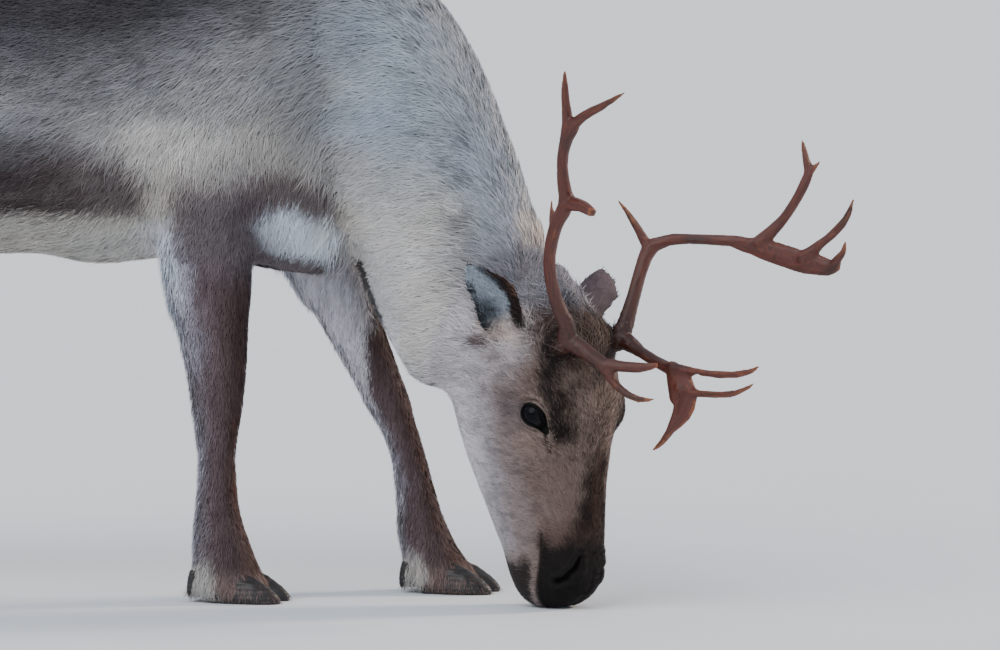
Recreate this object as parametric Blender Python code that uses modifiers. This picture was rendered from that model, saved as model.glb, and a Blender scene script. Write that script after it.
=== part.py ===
"""A life-size reindeer that stands and grazes, head down to the floor.

Metres, +Z up, +X the way the animal faces, +Y its left side. The floor is z = 0.
While it is built, x = 0 is the middle of the right front foot and y = 0 its middle plane.
"""
import math

import bmesh
import bpy
import numpy as np
from mathutils import Matrix, Vector

# Driving sizes of the body
WITHERS_HEIGHT = 0.958
BELLY_HEIGHT = 0.458
CHEST_FRONT = 0.17
RUMP_END = -0.932
FOOT_SPREAD = 0.10
LEFT_FRONT_STEP = 0.249
HIND_RIGHT_X = -0.700
HIND_LEFT_X = -0.790
HAUNCH_X = -0.745

# The head hangs straight down, turned to the right of the way the body faces
HEAD_TURN = math.radians(25.0)
POLL = Vector((0.442, -0.050, 0.408))
MUZZLE_ON_FLOOR = Vector((0.467, -0.060, 0.0))
HEAD_LENGTH = (MUZZLE_ON_FLOOR - POLL).length
HEAD_JOIN = Vector((0.378, -0.040, 0.405))
NAPE_TO_THROAT = math.radians(37.0)
EYE_RADIUS = 0.0195
EYE_AT = (0.140, 0.0575, 0.029)

# How the solids are made
GAP = 0.0006
SOCKET_GAP = 0.0007
ANTLER_SEAT_GAP = 0.0018
FLESH_VOXEL = 0.006
FACE_DENSITY_TRIANGLES = 5900
FLESH_TRIANGLES = 2650
PLAIN_FACTOR = 0.5
ANTLER_VOXEL = 0.0026
ANTLER_TRIANGLES = 800
RING_POINTS = 24
TUBE_POINTS = 10
HOOF_POINTS = 8

# Colours of the plain solids: linear red, green, blue
COAT_GREY = (0.38, 0.35, 0.33)
COAT_PALE = (0.55, 0.53, 0.50)
COAT_BROWN = (0.09, 0.055, 0.045)
HORN_BROWN = (0.16, 0.055, 0.025)
HOOF_BLACK = (0.012, 0.011, 0.011)
EYE_BLACK = (0.006, 0.006, 0.008)


# Scene and materials

def clear_scene():
    for thing in list(bpy.data.objects):
        bpy.data.objects.remove(thing, do_unlink=True)


def new_collection(name):
    group = bpy.data.collections.new(name)
    bpy.context.scene.collection.children.link(group)
    return group


def plain_material(name, colour, roughness):
    material = bpy.data.materials.new(name)
    material.use_nodes = True
    shader = material.node_tree.nodes["Principled BSDF"]
    shader.inputs["Base Color"].default_value = (*colour, 1.0)
    shader.inputs["Roughness"].default_value = roughness
    shader.inputs["Metallic"].default_value = 0.0
    return material


# Frames and smooth rows of numbers

def head_axes():
    """The way from poll to muzzle, the animal's right, and out of the forehead."""
    down = (MUZZLE_ON_FLOOR - POLL).normalized()
    ahead = Vector((math.cos(HEAD_TURN), -math.sin(HEAD_TURN), 0.0))
    forehead = (ahead - ahead.dot(down) * down).normalized()
    right = down.cross(forehead)
    return down, right, forehead


HEAD_DOWN, HEAD_RIGHT, HEAD_FRONT = head_axes()


def on_head(along, right, front):
    """A place by its distance down from the poll, to the animal's right, and forehead-ward."""
    return POLL + along * HEAD_DOWN + right * HEAD_RIGHT + front * HEAD_FRONT


def smooth_rows(rows, steps):
    """Catmull-Rom rows through the given rows of numbers, with so many steps to a span."""
    rows = np.array(rows, dtype=float)
    ends = np.vstack([2 * rows[0] - rows[1], rows, 2 * rows[-1] - rows[-2]])
    result = []
    for a, b, c, d in zip(ends, ends[1:], ends[2:], ends[3:]):
        for step in range(steps):
            t = step / steps
            result.append(0.5 * (2 * b + (c - a) * t + (2 * a - 5 * b + 4 * c - d) * t * t
                                 + (3 * b - a - 3 * c + d) * t ** 3))
    result.append(rows[-1])
    return np.array(result).tolist()


def egg_ring(centre, side, up, width, height_up, height_down, power=2.0, count=RING_POINTS):
    """A ring round centre: half a squarish ellipse above and another half below."""
    ring = []
    for k in range(count):
        turn = 2 * math.pi * k / count
        across = math.copysign(abs(math.cos(turn)) ** (2 / power), math.cos(turn))
        tall = math.copysign(abs(math.sin(turn)) ** (2 / power), math.sin(turn))
        height = height_up if tall > 0 else height_down
        ring.append(centre + side * (width * across) + up * (height * tall))
    return ring


def add_loft(bm, rings):
    """Join rings of the same count into one closed body."""
    rows = [[bm.verts.new(point) for point in ring] for ring in rings]
    faces = []
    for low, high in zip(rows, rows[1:]):
        for i in range(len(low)):
            j = (i + 1) % len(low)
            faces.append(bm.faces.new((low[i], low[j], high[j], high[i])))
    faces.append(bm.faces.new(list(reversed(rows[0]))))
    faces.append(bm.faces.new(rows[-1]))
    bmesh.ops.recalc_face_normals(bm, faces=faces)


def add_ball(bm, centre, radii, axes=None, segments=20):
    """An ellipsoid with its three radii along the given axes."""
    turn = Matrix.Identity(3) if axes is None else Matrix(axes).transposed()
    scale = Matrix.Diagonal(Vector(radii))
    place = Matrix.Translation(centre) @ (turn @ scale).to_4x4()
    bmesh.ops.create_uvsphere(bm, u_segments=segments, v_segments=segments // 2, radius=1.0,
                              matrix=place)


def object_from(bm, name, group, material=None):
    mesh = bpy.data.meshes.new(name)
    bm.to_mesh(mesh)
    bm.free()
    thing = bpy.data.objects.new(name, mesh)
    group.objects.link(thing)
    if material:
        mesh.materials.append(material)
    return thing


def bake_modifiers(thing):
    """Replace an object's mesh by what its modifiers make of it."""
    graph = bpy.context.evaluated_depsgraph_get()
    mesh = bpy.data.meshes.new_from_object(thing.evaluated_get(graph), depsgraph=graph)
    old = thing.data
    thing.modifiers.clear()
    thing.data = mesh
    bpy.data.meshes.remove(old)


def triangulate(thing):
    bm = bmesh.new()
    bm.from_mesh(thing.data)
    bmesh.ops.triangulate(bm, faces=bm.faces[:])
    bm.to_mesh(thing.data)
    bm.free()


# The trunk, neck, head and legs as lofts

def trunk_rings():
    """Each station: x, back height, belly height, half width."""
    stations = [
        (RUMP_END, 0.800, 0.670, 0.078),
        (-0.912, 0.858, 0.610, 0.124),
        (-0.858, 0.908, 0.560, 0.164),
        (-0.780, 0.940, 0.522, 0.188),
        (-0.680, 0.946, 0.500, 0.200),
        (-0.560, 0.934, 0.482, 0.210),
        (-0.430, 0.926, 0.470, 0.219),
        (-0.300, 0.928, 0.474, 0.220),
        (-0.220, 0.938, BELLY_HEIGHT, 0.212),
        (-0.120, 0.950, 0.470, 0.198),
        (-0.040, WITHERS_HEIGHT, 0.466, 0.184),
        (0.050, 0.950, 0.452, 0.166),
        (0.120, 0.905, 0.452, 0.138),
        (CHEST_FRONT, 0.790, 0.500, 0.085),
    ]
    rings = []
    for x, back, belly, width in smooth_rows(stations, 4):
        middle = belly + 0.47 * (back - belly)
        rings.append(egg_ring(Vector((x, 0, middle)), Vector((0, -1, 0)), Vector((0, 0, 1)),
                              width, back - middle, middle - belly, power=2.15, count=32))
    return rings


def neck_rings():
    """Each station: upper edge x and z, mane edge x and z, middle y, half width, turn."""
    stations = [
        (0.000, 0.940, 0.040, 0.480, 0.000, 0.155, 0),
        (0.158, 0.923, 0.130, 0.500, 0.000, 0.148, 3),
        (0.268, 0.846, 0.159, 0.480, -0.003, 0.130, 6),
        (0.330, 0.762, 0.172, 0.440, -0.010, 0.116, 10),
        (0.371, 0.676, 0.184, 0.392, -0.017, 0.106, 14),
        (0.404, 0.604, 0.202, 0.345, -0.026, 0.100, 17),
        (0.427, 0.532, 0.226, 0.302, -0.036, 0.094, 20),
        (0.439, 0.466, 0.256, 0.286, -0.045, 0.084, 23),
        (0.449, 0.418, 0.290, 0.300, -0.052, 0.070, 25),
    ]
    rings = []
    for top_x, top_z, low_x, low_z, y, width, turn in smooth_rows(stations, 4):
        turn = math.radians(turn)
        top = Vector((top_x, 0.0, top_z))
        low = Vector((low_x, 0.0, low_z))
        span = top - low
        half = span.length / 2
        lean = span.normalized()
        up = Vector((lean.x * math.cos(turn), -lean.x * math.sin(turn), lean.z))
        side = Vector((-math.sin(turn), -math.cos(turn), 0.0))
        centre = (top + low) / 2
        centre.y = y
        rings.append(egg_ring(centre, side, up, width, half, half, power=2.1, count=28))
    return rings


def head_rings():
    """Each station: along, forehead side, throat side, half width, widest place, squareness."""
    stations = [
        (-0.060, 0.010, -0.140, 0.066, -0.034, 2.0),
        (-0.030, 0.035, -0.168, 0.080, -0.030, 2.1),
        (0.000, 0.058, -0.176, 0.085, -0.020, 2.2),
        (0.040, 0.081, -0.172, 0.086, -0.008, 2.3),
        (0.090, 0.096, -0.164, 0.083, 0.000, 2.4),
        (0.140, 0.098, -0.154, 0.077, 0.002, 2.4),
        (0.190, 0.086, -0.142, 0.066, -0.002, 2.4),
        (0.240, 0.079, -0.124, 0.057, -0.006, 2.4),
        (0.290, 0.075, -0.102, 0.051, -0.010, 2.5),
        (0.330, 0.071, -0.084, 0.048, -0.010, 2.6),
        (0.365, 0.065, -0.072, 0.0475, -0.008, 2.7),
        (0.392, 0.050, -0.058, 0.043, -0.006, 2.5),
        (0.406, 0.028, -0.040, 0.032, -0.006, 2.2),
        (HEAD_LENGTH + 0.003, 0.010, -0.022, 0.018, -0.006, 2.0),
    ]
    rings = []
    for along, front, throat, width, widest, power in smooth_rows(stations, 4):
        rings.append(egg_ring(on_head(along, 0, widest), HEAD_RIGHT, HEAD_FRONT, width,
                              front - widest, widest - throat, power=power, count=28))
    return rings


def add_head_forms(bm):
    """Brow and orbit, cheek and lips on each side of the head."""
    axes = (HEAD_DOWN, HEAD_RIGHT, HEAD_FRONT)
    forms = [
        ((0.134, 0.059, 0.053), (0.042, 0.026, 0.029)),
        ((0.150, 0.050, -0.020), (0.080, 0.026, 0.062)),
        ((0.352, 0.026, 0.030), (0.034, 0.024, 0.030)),
    ]
    for place, radii in forms:
        for side in (1, -1):
            along, right, front = place
            add_ball(bm, on_head(along, side * right, front), radii, axes)
    add_ball(bm, on_head(0.040, 0.0, 0.064), (0.046, 0.062, 0.030), axes)


def leg_rings(stations, side):
    """Each station: x, distance from the middle plane, z, half length, half width."""
    rings = []
    for x, y, z, length, width in smooth_rows(stations, 4):
        rings.append(egg_ring(Vector((x, side * y, z)), Vector((0, 1, 0)), Vector((1, 0, 0)),
                              width, length, length, power=2.2))
    return rings


def front_leg_stations(step):
    """A front leg, its foot stepped forward by so much. Straight when step is zero."""
    y = FOOT_SPREAD
    straight = [
        (0.000, y + 0.000, 0.760, 0.080, 0.050),
        (-0.012, y + 0.022, 0.640, 0.092, 0.060),
        (-0.020, y + 0.018, 0.557, 0.073, 0.058),
        (-0.023, y + 0.012, 0.490, 0.065, 0.052),
        (-0.0205, y + 0.007, 0.418, 0.0585, 0.045),
        (-0.0140, y + 0.003, 0.349, 0.0495, 0.039),
        (-0.0115, y, 0.293, 0.0425, 0.036),
        (-0.014, y, 0.238, 0.031, 0.029),
        (-0.014, y, 0.190, 0.0275, 0.026),
        (-0.013, y, 0.126, 0.032, 0.030),
        (-0.009, y, 0.078, 0.043, 0.038),
        (-0.002, y, 0.034, 0.053, 0.046),
        (0.000, y, 0.008, 0.056, 0.050),
    ]
    if not step:
        return straight
    return [
        (0.010, y - 0.002, 0.760, 0.080, 0.050),
        (0.022, y + 0.016, 0.640, 0.088, 0.058),
        (0.048, y + 0.012, 0.555, 0.076, 0.055),
        (0.074, y + 0.008, 0.480, 0.066, 0.050),
        (0.103, y + 0.004, 0.415, 0.056, 0.043),
        (0.136, y + 0.002, 0.350, 0.045, 0.037),
        (0.164, y, 0.293, 0.0390, 0.035),
        (0.184, y, 0.245, 0.0300, 0.029),
        (0.204, y, 0.198, 0.0260, 0.026),
        (0.219, y, 0.126, 0.0305, 0.029),
        (0.230, y, 0.074, 0.041, 0.037),
        (0.246, y, 0.034, 0.050, 0.045),
        (step + 0.002, y, 0.008, 0.055, 0.050),
    ]


def hind_leg_stations(foot_x):
    """A hind leg over its foot: haunch, stifle, hock behind, cannon upright."""
    y = FOOT_SPREAD
    hock_x = foot_x - 0.055
    swing = foot_x - HAUNCH_X
    return [
        (-0.770, y - 0.010, 0.860, 0.105, 0.062),
        (-0.742, y + 0.018, 0.760, 0.155, 0.080),
        (-0.728 + 0.2 * swing, y + 0.034, 0.660, 0.158, 0.078),
        (-0.732 + 0.4 * swing, y + 0.032, 0.575, 0.124, 0.066),
        (-0.757 + 0.6 * swing, y + 0.020, 0.495, 0.085, 0.051),
        (hock_x + 0.000, y + 0.008, 0.425, 0.059, 0.041),
        (hock_x - 0.008, y + 0.002, 0.362, 0.046, 0.036),
        (hock_x, y, 0.300, 0.036, 0.031),
        (hock_x + 0.012, y, 0.240, 0.029, 0.028),
        (hock_x + 0.024, y, 0.170, 0.027, 0.027),
        (hock_x + 0.036, y, 0.118, 0.030, 0.030),
        (hock_x + 0.046, y, 0.074, 0.040, 0.037),
        (foot_x, y, 0.034, 0.050, 0.044),
        (foot_x + 0.002, y, 0.008, 0.054, 0.048),
    ]


def tail_rings():
    """Each station: x, z, half thickness, half width. It hangs down the rump."""
    stations = [
        (-0.898, 0.862, 0.026, 0.030),
        (-0.935, 0.834, 0.028, 0.036),
        (-0.954, 0.788, 0.030, 0.040),
        (-0.962, 0.736, 0.026, 0.034),
        (-0.962, 0.698, 0.012, 0.014),
    ]
    rings = []
    for x, z, thick, wide in smooth_rows(stations, 1):
        rings.append(egg_ring(Vector((x, 0, z)), Vector((0, -1, 0)),
                              Vector((-1, 0, 0.35)).normalized(), wide, thick, thick, count=12))
    return rings


LEGS = {
    "front_right": (-1, 0.0, lambda: front_leg_stations(0.0)),
    "front_left": (1, LEFT_FRONT_STEP, lambda: front_leg_stations(LEFT_FRONT_STEP)),
    "hind_right": (-1, HIND_RIGHT_X, lambda: hind_leg_stations(HIND_RIGHT_X)),
    "hind_left": (1, HIND_LEFT_X, lambda: hind_leg_stations(HIND_LEFT_X)),
}


def whole_flesh(group):
    """All the flesh as one smooth closed skin of a few thousand triangles."""
    bm = bmesh.new()
    add_loft(bm, trunk_rings())
    add_loft(bm, neck_rings())
    add_loft(bm, head_rings())
    add_head_forms(bm)
    for side, _, stations in LEGS.values():
        add_loft(bm, leg_rings(stations(), side))
    flesh = object_from(bm, "flesh", group)
    remesh = flesh.modifiers.new("one skin", "REMESH")
    remesh.mode = "VOXEL"
    remesh.voxel_size = FLESH_VOXEL
    bake_modifiers(flesh)
    soften_joins(flesh)
    thin_out(flesh, FACE_DENSITY_TRIANGLES)
    mark_plain(flesh)
    thin_out(flesh, FLESH_TRIANGLES, "plain")
    return flesh


def soften_joins(flesh):
    """Smooth the trunk, shoulders and throat well, the face and shins only a little."""
    places = np.empty(len(flesh.data.vertices) * 3)
    flesh.data.vertices.foreach_get("co", places)
    places = places.reshape(-1, 3)
    joins = flesh.vertex_groups.new(name="joins")
    height = np.clip((places[:, 2] - 0.42) / 0.16, 0, 1)
    from_head = np.clip((0.40 - places[:, 0]) / 0.10, 0, 1)
    throat = np.clip((0.36 - places[:, 0]) / 0.08, 0, 1) * np.clip((places[:, 0] - 0.15) / 0.05, 0, 1)
    throat *= (places[:, 2] > 0.25) * (places[:, 1] < 0.05)
    weight = np.maximum(height * from_head, 0.8 * throat)
    for level in range(1, 11):
        chosen = np.nonzero(np.round(weight * 10) == level)[0]
        if len(chosen):
            joins.add(chosen.tolist(), level / 10, "REPLACE")
    broad = flesh.modifiers.new("soft joins", "SMOOTH")
    broad.factor = 0.6
    broad.iterations = 30
    broad.vertex_group = "joins"
    fine = flesh.modifiers.new("soft all over", "SMOOTH")
    fine.factor = 0.5
    fine.iterations = 3
    bake_modifiers(flesh)


def thin_out(thing, target, plainer=None):
    """Bring a mesh down to about so many triangles, sooner where it is plain."""
    triangulate(thing)
    reduce = thing.modifiers.new("fewer triangles", "DECIMATE")
    reduce.ratio = target / len(thing.data.polygons)
    reduce.use_collapse_triangulate = True
    if plainer:
        reduce.vertex_group = plainer
        reduce.vertex_group_factor = PLAIN_FACTOR
    bake_modifiers(thing)


def mark_plain(flesh):
    """Weigh the trunk, neck and legs fully and the face not at all."""
    plain = flesh.vertex_groups.new(name="plain")
    body = [vert.index for vert in flesh.data.vertices
            if (vert.co - POLL).dot(HEAD_DOWN) < 0.02 or vert.co.x < 0.27]
    plain.add(body, 1.0, "REPLACE")


# Cutting the flesh into its named parts

def box_cutter(name, centre, half, axes, group, grow=0.0):
    bm = bmesh.new()
    turn = Matrix(axes).transposed()
    size = Matrix.Diagonal(Vector([2 * (h + grow) for h in half]))
    place = Matrix.Translation(centre) @ (turn @ size).to_4x4()
    bmesh.ops.create_cube(bm, size=1.0, matrix=place)
    cutter = object_from(bm, name, group)
    hide_cutter(cutter)
    return cutter


def hide_cutter(cutter):
    cutter.hide_render = True
    cutter.display_type = "WIRE"


def cut(thing, cutter, operation):
    boolean = thing.modifiers.new("cut", "BOOLEAN")
    boolean.operation = operation
    boolean.solver = "EXACT"
    boolean.object = cutter
    bake_modifiers(thing)


def take_piece(rest, name, centre, half, axes, groups, material):
    """Part what lies in a box from the rest, with a thin gap between."""
    parts, cutters = groups
    piece = bpy.data.objects.new(name, rest.data.copy())
    parts.objects.link(piece)
    piece.data.materials.clear()
    piece.data.materials.append(material)
    inner = box_cutter(name + "_cut", centre, half, axes, cutters)
    outer = box_cutter(name + "_clear", centre, half, axes, cutters, grow=GAP)
    cut(piece, inner, "INTERSECT")
    cut(rest, outer, "DIFFERENCE")
    return piece


def cut_seat(thing, name, rings, cutters):
    """Room in one body for another that is lofted through the rings, with a thin gap."""
    bm = bmesh.new()
    add_loft(bm, rings)
    bm.normal_update()
    for vert in bm.verts:
        vert.co += vert.normal * SOCKET_GAP
    seat = object_from(bm, name, cutters)
    hide_cutter(seat)
    cut(thing, seat, "DIFFERENCE")


def level_axes(turn=0.0, pitch=0.0):
    """Three axes: forward, left and up, turned about Z and then pitched about Y."""
    spin = Matrix.Rotation(turn, 3, "Z") @ Matrix.Rotation(pitch, 3, "Y")
    return [spin.col[0].copy(), spin.col[1].copy(), spin.col[2].copy()]


def split_flesh(flesh, groups, coat):
    """Legs first, then head, neck and tail: the trunk is what remains."""
    pieces = {}
    upright = level_axes()
    front_half = (0.088, 0.110, 0.320)
    pieces["leg_front_right"] = take_piece(
        flesh, "leg_front_right", Vector((-0.016, -0.155, 0.235)), front_half, upright, groups,
        coat["brown"])
    lean = level_axes(pitch=-math.atan2(0.200, 0.550))
    pieces["leg_front_left"] = take_piece(
        flesh, "leg_front_left", Vector((0.168, 0.157, 0.225)), (0.094, 0.110, 0.320), lean,
        groups, coat["brown"])
    for name, foot_x, side in (("hind_right", HIND_RIGHT_X, -1), ("hind_left", HIND_LEFT_X, 1)):
        pieces["leg_" + name] = take_piece(
            flesh, "leg_" + name, Vector((foot_x + 0.020, side * 0.165, 0.235)),
            (0.240, 0.125, 0.360), upright, groups, coat["brown"])
    head_axis = level_axes(turn=-HEAD_TURN, pitch=NAPE_TO_THROAT)
    pieces["head"] = take_piece(
        flesh, "head", HEAD_JOIN + head_axis[0] * 0.300, (0.300, 0.260, 0.360), head_axis,
        groups, coat["grey"])
    neck_axis = level_axes(turn=math.radians(-3.0), pitch=math.radians(-4.0))
    pieces["neck"] = take_piece(
        flesh, "neck", Vector((0.445, 0.0, 0.610)), (0.300, 0.330, 0.400), neck_axis, groups,
        coat["pale"])
    pieces["trunk"] = flesh
    flesh.name = "trunk"
    flesh.data.materials.clear()
    flesh.data.materials.append(coat["grey"])
    return pieces


def make_tail(groups, trunk, material):
    """The tail, and a seat for it cut from the trunk."""
    parts, cutters = groups
    bm = bmesh.new()
    add_loft(bm, tail_rings())
    object_from(bm, "tail", parts, material)
    cut_seat(trunk, "tail_seat", tail_rings(), cutters)


# Feet

def hoof_rings(size, spread):
    """One half of a cloven hoof: a curved wedge, flat below, x forward from the heel."""
    rings = []
    stations = [
        (-0.030, 0.0150, 0.046, 0.004),
        (-0.012, 0.0195, 0.050, 0.000),
        (0.012, 0.0215, 0.047, -0.001),
        (0.036, 0.0205, 0.036, -0.002),
        (0.056, 0.0160, 0.022, -0.005),
        (0.068, 0.0080, 0.010, -0.008),
    ]
    for x, width, height, inward in smooth_rows(stations, 1):
        ring = []
        for k in range(HOOF_POINTS):
            turn = 2 * math.pi * k / HOOF_POINTS
            low = math.sin(turn) < -0.01
            across = math.cos(turn) * width * (1.0 if low else 0.93)
            lift = 0.0 if low else math.sin(turn) * height
            if -0.01 <= math.sin(turn) <= 0.01:
                lift = 0.16 * height
            ring.append(Vector((x * size, (across + inward * spread) * size, lift * size)))
        rings.append(ring)
    return rings


def add_hoof(bm, place, size, turn, spread, grow=0.0):
    """A hoof set at a foot, turned outward a little and grown by the gap where it cuts."""
    start = len(bm.verts)
    add_loft(bm, hoof_rings(size, spread))
    bm.verts.ensure_lookup_table()
    bm.normal_update()
    spin = Matrix.Translation(place) @ Matrix.Rotation(turn, 4, "Z")
    for vert in bm.verts[start:]:
        vert.co = spin @ (vert.co + vert.normal * grow)


def add_dewclaw(bm, place, lean, grow=0.0):
    """A small pointed claw behind the foot, tip down."""
    start = len(bm.verts)
    rings = []
    for along, radius in ((0.0, 0.0105), (0.014, 0.0100), (0.028, 0.0070), (0.038, 0.0025)):
        centre = Vector((-0.30 * along, 0, 0.044 - along))
        rings.append(egg_ring(centre, Vector((0, 1, 0)), Vector((1, 0, -0.3)).normalized(),
                              radius * 0.85, radius, radius, count=6))
    add_loft(bm, rings)
    bm.verts.ensure_lookup_table()
    bm.normal_update()
    spin = Matrix.Translation(place) @ Matrix.Rotation(lean, 4, "Z")
    for vert in bm.verts[start:]:
        vert.co = spin @ (vert.co + vert.normal * grow)


def make_foot(leg_name, side, foot_x, leg, groups, horn):
    """Two hooves and two dewclaws, and the room for them in the leg."""
    parts, cutters = groups
    y = side * FOOT_SPREAD
    clear = bmesh.new()
    for row, which in ((1, "outer"), (-1, "inner")):
        outward = row * side
        place = Vector((foot_x + 0.014, y + outward * 0.0245, 0.0))
        turn = outward * math.radians(6.0)
        bm = bmesh.new()
        add_hoof(bm, place, 1.0, turn, outward)
        object_from(bm, f"hoof_{leg_name}_{which}", parts, horn)
        add_hoof(clear, place, 1.0, turn, outward, grow=SOCKET_GAP)
        place = Vector((foot_x - 0.038, y + outward * 0.025, 0.0))
        bm = bmesh.new()
        add_dewclaw(bm, place, outward * math.radians(-20.0))
        object_from(bm, f"dewclaw_{leg_name}_{which}", parts, horn)
        add_dewclaw(clear, place, outward * math.radians(-20.0), grow=SOCKET_GAP)
    room = object_from(clear, f"foot_room_{leg_name}", cutters)
    hide_cutter(room)
    cut(leg, room, "DIFFERENCE")


# Eyes and ears

def make_eye(name, side, head, groups, material):
    """An eyeball in its socket, a third of it out of the head."""
    parts, cutters = groups
    along, right, front = EYE_AT
    centre = on_head(along, side * right, front)
    for grow, group, label in ((0.0, parts, name), (SOCKET_GAP, cutters, name + "_socket")):
        bm = bmesh.new()
        bmesh.ops.create_icosphere(bm, subdivisions=2, radius=EYE_RADIUS + grow,
                                   matrix=Matrix.Translation(centre))
        ball = object_from(bm, label, group, material)
        if grow:
            hide_cutter(ball)
            cut(head, ball, "DIFFERENCE")


EARS = {
    1: ((0.040, 0.070, 0.006), (-0.070, 0.157, -0.004)),
    -1: ((0.032, 0.066, 0.014), (-0.044, 0.146, -0.012)),
}
EAR_HOLLOWS = {1: (0.62, 0.30, 0.50), -1: (0.82, -0.22, 0.50)}
EAR_WIDTH = 0.037
EAR_CUP = 0.021


def ear_rings(side):
    """A cupped leaf from root to tip, its hollow turned outward, on the left side backward."""
    (root_along, root_out, root_front), (tip_along, tip_out, tip_front) = EARS[side]
    root = on_head(root_along, side * root_out, root_front)
    tip = on_head(tip_along, side * tip_out, tip_front)
    length = (tip - root).normalized()
    outward, forward, downward = EAR_HOLLOWS[side]
    hollow = side * outward * HEAD_RIGHT + forward * HEAD_FRONT + downward * HEAD_DOWN
    hollow = (hollow - hollow.dot(length) * length).normalized()
    across = length.cross(hollow)
    stations = [
        (0.00, 0.52, 0.55, 0.0150),
        (0.16, 0.68, 0.95, 0.0130),
        (0.34, 0.95, 1.00, 0.0090),
        (0.56, 1.00, 0.85, 0.0065),
        (0.76, 0.78, 0.60, 0.0055),
        (0.90, 0.46, 0.32, 0.0050),
        (1.00, 0.14, 0.10, 0.0035),
    ]
    rings = []
    for t, wide, cup, thick in smooth_rows(stations, 1):
        middle = root.lerp(tip, t) - hollow * (EAR_CUP * cup * 0.5)
        width = EAR_WIDTH * wide
        depth = EAR_CUP * cup
        ring = []
        for k in range(8):
            turn = math.pi * k / 7
            bow = math.cos(turn)
            ring.append(middle + across * (width * bow)
                        + hollow * (depth * (bow * bow) - thick * math.sin(turn)))
        for k in range(1, 7):
            turn = math.pi * k / 7
            bow = -math.cos(turn)
            ring.append(middle + across * (0.86 * width * bow)
                        + hollow * (depth * (bow * bow) + 0.35 * thick * math.sin(turn)))
        rings.append(ring)
    return rings


def make_ear(name, side, head, groups, material):
    parts, cutters = groups
    bm = bmesh.new()
    add_loft(bm, ear_rings(side))
    object_from(bm, name, parts, material)
    cut_seat(head, name + "_seat", ear_rings(side), cutters)


# Antlers: branches as places on the head with a radius

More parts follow.
